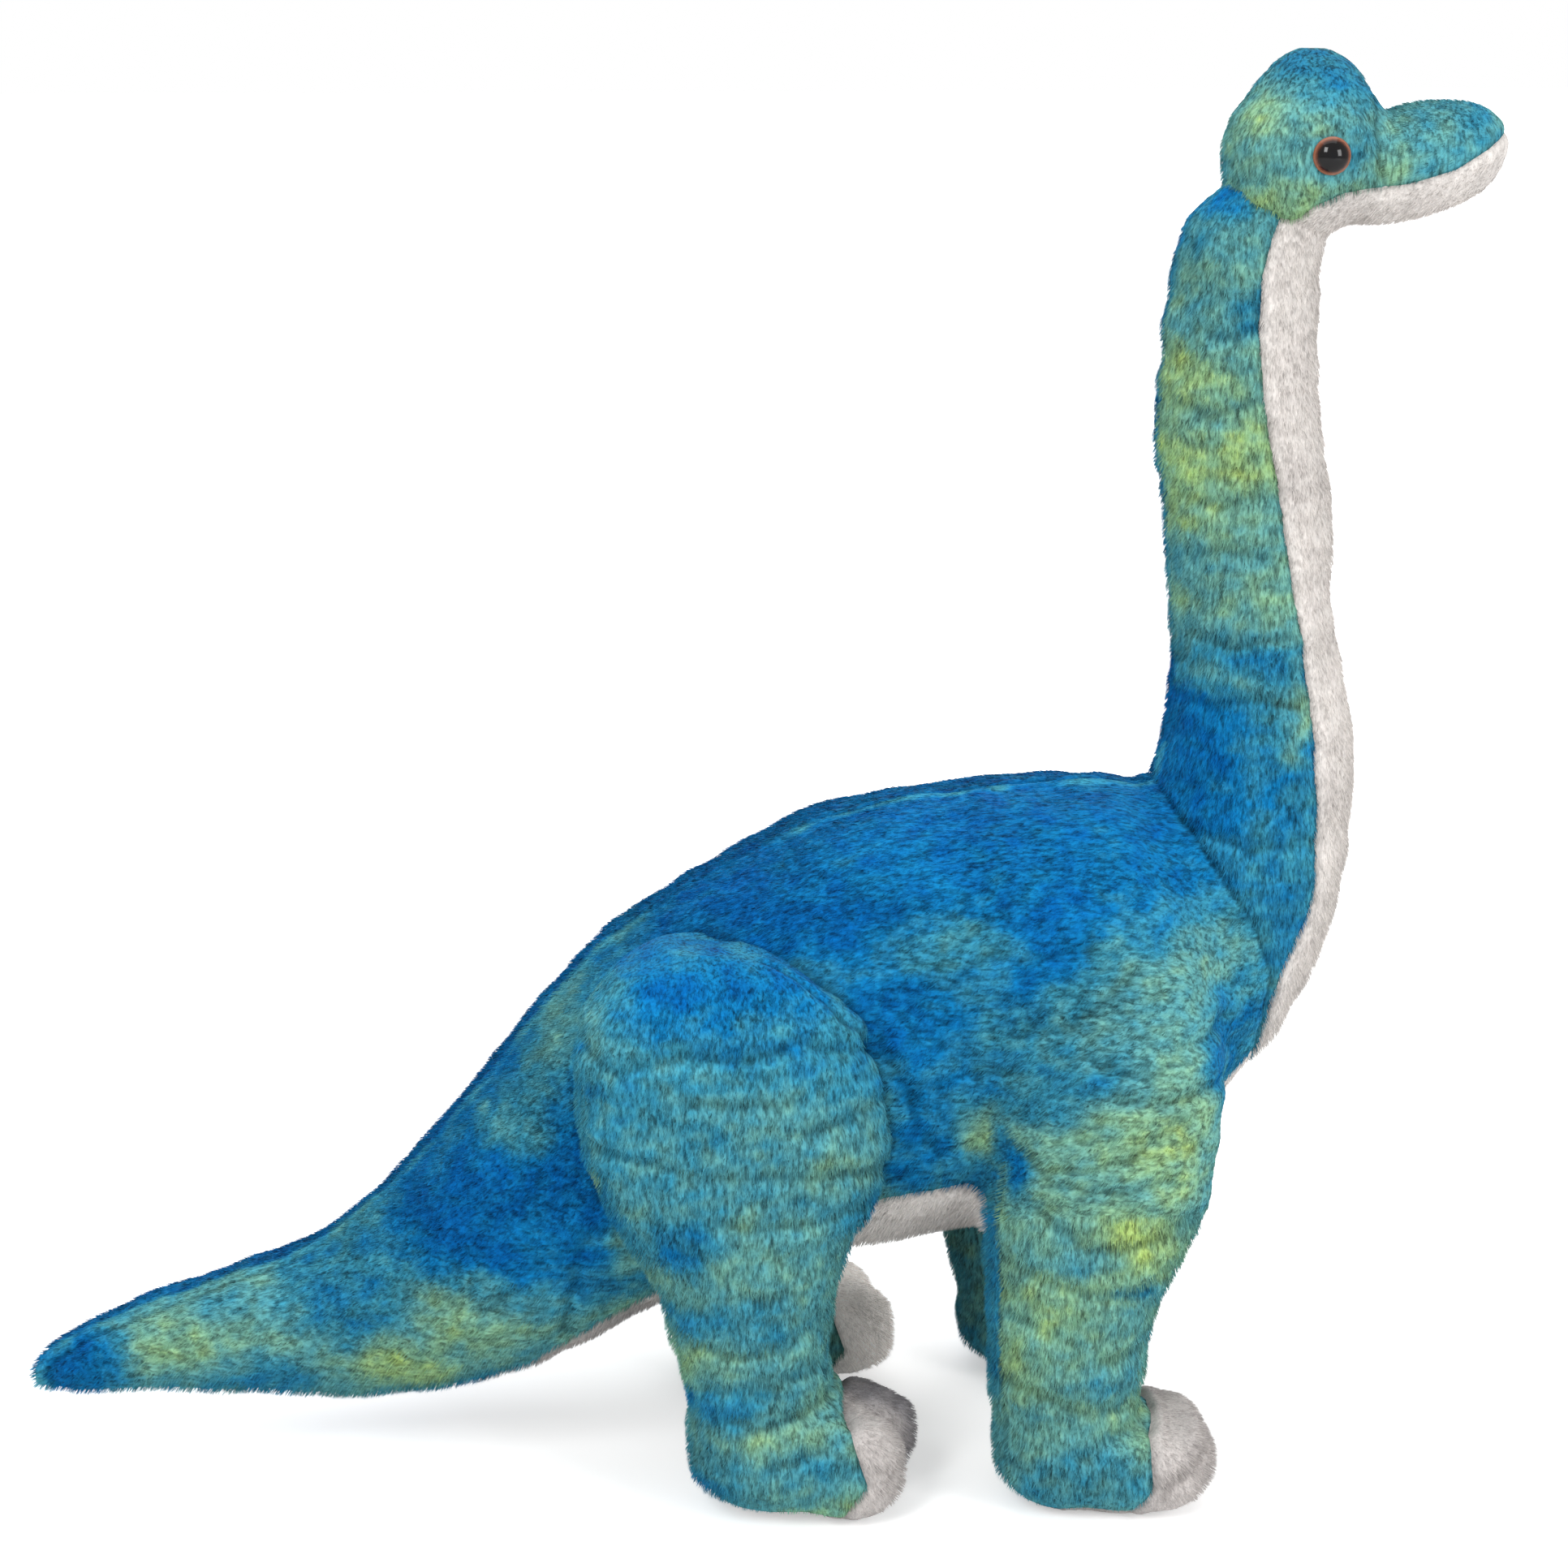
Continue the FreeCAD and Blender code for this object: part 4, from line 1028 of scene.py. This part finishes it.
def finish_component(names, built, kind, seed, prefix=""):
    """Displaces a surface, dyes it, paints shade and light into it and makes its pieces."""
    p, quads, label, seam = built
    rest = p.copy()
    n = normals(p, quads)
    limb = np.ones(len(p))
    if kind == "trunk":
        limb = np.maximum(ramp(p[:, 2], 215, 240), 1 - ramp(p[:, 2], 95, 120)) * (p[:, 0] > 40)
    if kind == "head":
        limb = np.zeros(len(p))
    out, fold = relief(rest, seam, seed, limb, FOLDS[kind])
    if kind == "head":
        out *= 0.6
    long = ramp(p[:, 2], 1, 13)
    for eye in EYES:
        r = np.hypot(p[:, 0] - eye[0], p[:, 2] - eye[2])
        close = (np.abs(p[:, 1] - eye[1]) < 12) & (kind == "head")
        short = 0.8 * (r > EYE_BARE) * ramp(r, 4.5, 9)
        long = np.where(close & (r < EYE_SHORT), short, long)
        out = np.where(close, out * ramp(r, 6, 10) - 0.7 * (1 - ramp(r, 5, 8.5)), out)
    out = np.where(rest[:, 2] < 2.0, np.minimum(out, 0) * 0.2, out)
    p = p + n * out[:, None]
    p[:, 2] = np.maximum(p[:, 2], 0.15)
    n = normals(p, quads)
    t, light = dye_and_shade(rest, kind, seed + 60, (1.1, 1.1, 2.6))
    if kind == "trunk":
        flank = (rest[:, 2] > 100) & (shoulder_seam(*rest.T) < 0) | (rest[:, 0] < 40)
        _, light_along = dye_and_shade(rest, kind, seed + 60, (2.6, 1.1, 1.3))
        light = np.where(flank, light_along, light)
    shade = 0.8 * bell(seam, 0.8) + 0.55 * fold
    if kind == "hind":
        shade = shade + 0.35 * bell(trunk(*rest.T), 1.5)
    if kind == "trunk":
        for side, prof in ((-1, HIND_P), (1, FAR_HIND_P)):
            near = np.where(p[:, 1] * side > 0, hind_leg(prof)(*rest.T), FAR)
            shade = shade + 0.7 * bell(np.maximum(near, 0), 2.2)
    # the map holds the dye, a lightness with painted shade and light in it, and painted shade
    # along seams, in folds and where parts meet
    attributes = {"rest": rest, "dye_and_shade": np.stack([t, light, shade], 1), "pile": long}
    grey_t = 0.8 + 0.12 * layers(rest, 12, seed + 70, 2) - 0.32 * (rest[:, 2] < 60)
    grey_t = grey_t.clip(0, 0.85)
    if kind == "hind":
        # painted shade and light: the near foot's inner lobe is painted darker as shade, and the
        # far foot lighter, as painted light in the body's shadow
        grey_t = grey_t - 0.4 * ramp(rest[:, 1], -53, -44) * (rest[:, 1] < 0)
        grey_t = grey_t + 0.9 * (rest[:, 1] > 0)
    # painted light on the far hind foot, which lies in the body's shadow
    grey_light = light * 0.5 + 0.27 + 0.3 * ((kind == "hind") & (rest[:, 1] > 0))
    # painted shade: grey cloth from about 110 mm up is darker, against the lamps' light
    grey_light = grey_light - 0.08 * ramp(rest[:, 2], 110, 160)
    grey_attributes = {**attributes, "dye_and_shade": np.stack([grey_t, grey_light, shade * 0.6], 1)}
    made = {}
    for k, name in enumerate(names):
        mine = quads[label == k]
        grey = name.endswith(GREY_PIECES)
        along = name.startswith(("body", "tail"))
        material = PLUSH["grey"] if grey else PLUSH["along"] if along else PLUSH["down"]
        dye_and_shade_set = grey_attributes if grey else attributes
        obj = cover(f"{prefix}{name}_plush", p, mine, n, dye_and_shade_set, material)
        comb = (-0.75, 0, -0.6) if along or name == "belly" else (-0.15, 0, -1)
        if name.startswith("snout") or name == "jaw":
            comb = (-0.9, 0, -0.3)
        if name.endswith("toe_cap"):
            comb = (0.6, 0, -0.7)
        if not name.endswith("sole"):
            pile(obj, comb, HEAD_PILE if kind == "head" else BODY_PILE, seed + k)
        made[name] = obj
    return made


built = component(floor_cut(trunk), (-230, -90, -6), (200, 90, 402), trunk_panels)
trunk_made = finish_component(TRUNK_NAMES, built, "trunk", 11)
HEAD_NAMES = ["head_right", "head_left", "snout", "jaw"]
built = component(head, (130, -34, 368), (232, 34, 440), head_panels)
head_made = finish_component(HEAD_NAMES, built, "head", 31)
hind_made = {}
for side, prof, low, seed in (("right", HIND_P, -86, 51), ("left", FAR_HIND_P, 14, 71)):
    field = floor_cut(hind_leg(prof))
    built = component(field, (-64, low, -6), (64, low + 72, 186), hind_panels)
    hind_made[side] = finish_component(LEG_PIECES, built, "hind", seed, f"hind_{side}_")


# ---------------------------------------------------------------- bodies and CAD nodes


def stands_for(obj, slot, *nodes, fill=0.8):
    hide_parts(*nodes)


TEAL, GREY = "teal_plush", "grey_plush"
for name, slot, nodes in (
    ("body_right", TEAL, ("body_right_panel", "torso_stuffing")),
    ("body_left", TEAL, ("body_left_panel",)), ("belly", GREY, ("belly_panel",)),
):
    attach(trunk_made[name], "torso")
    stands_for(trunk_made[name], slot, *nodes)
for name, nodes in (
    ("tail_right", ("tail_right_panel", "tail_stuffing")), ("tail_left", ("tail_left_panel",)),
):
    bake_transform(trunk_made[name])
    stands_for(trunk_made[name], TEAL, *nodes)
for name, slot, nodes in (
    ("neck_lower_right", TEAL, ("neck_base_right_panel", "neck_base_stuffing")),
    ("neck_lower_left", TEAL, ("neck_base_left_panel",)), ("chest", GREY, ("chest_panel",)),
):
    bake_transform(trunk_made[name])
    stands_for(trunk_made[name], slot, *nodes)
for name, slot, nodes in (
    ("neck_upper_right", TEAL, ("neck_right_panel", "neck_stuffing")),
    ("neck_upper_left", TEAL, ("neck_left_panel",)), ("throat", GREY, ("throat_panel",)),
):
    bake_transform(trunk_made[name])
    stands_for(trunk_made[name], slot, *nodes)
for name, slot, nodes in (
    ("head_right", TEAL, ("head_right_panel", "head_stuffing")),
    ("head_left", TEAL, ("head_left_panel",)), ("snout", TEAL, ("snout_panel",)),
    ("jaw", GREY, ("jaw_panel",)),
):
    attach(head_made[name], "head")
    stands_for(head_made[name], slot, *nodes)
for side, sign in (("right", -1), ("left", 1)):
    for part, slot in (("outer", TEAL), ("inner", TEAL), ("toe_cap", GREY), ("sole", GREY)):
        node = f"{part}_panel" if part in ("outer", "inner") else part
        more = ("stuffing",) if part == "outer" else ()
        obj = trunk_made[f"front_{side}_{part}"]
        body = f"front_leg_{side}"
        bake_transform(obj)
        stands_for(obj, slot, *[f"{body}_{k}" for k in (node, *more)])
        obj = hind_made[side][part]
        body = f"hind_leg_{side}"
        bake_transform(obj)
        stands_for(obj, slot, *[f"{body}_{k}" for k in (node, *more)])
for side, centre in zip(("right", "left"), EYES):
    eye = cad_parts[f"eye_{side}"]
    eye.material_slots[0].material = eye_plastic(f"eye_plastic_{side}", centre * MM)
    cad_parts[f"eye_washer_{side}"].material_slots[0].material = washer_plastic()
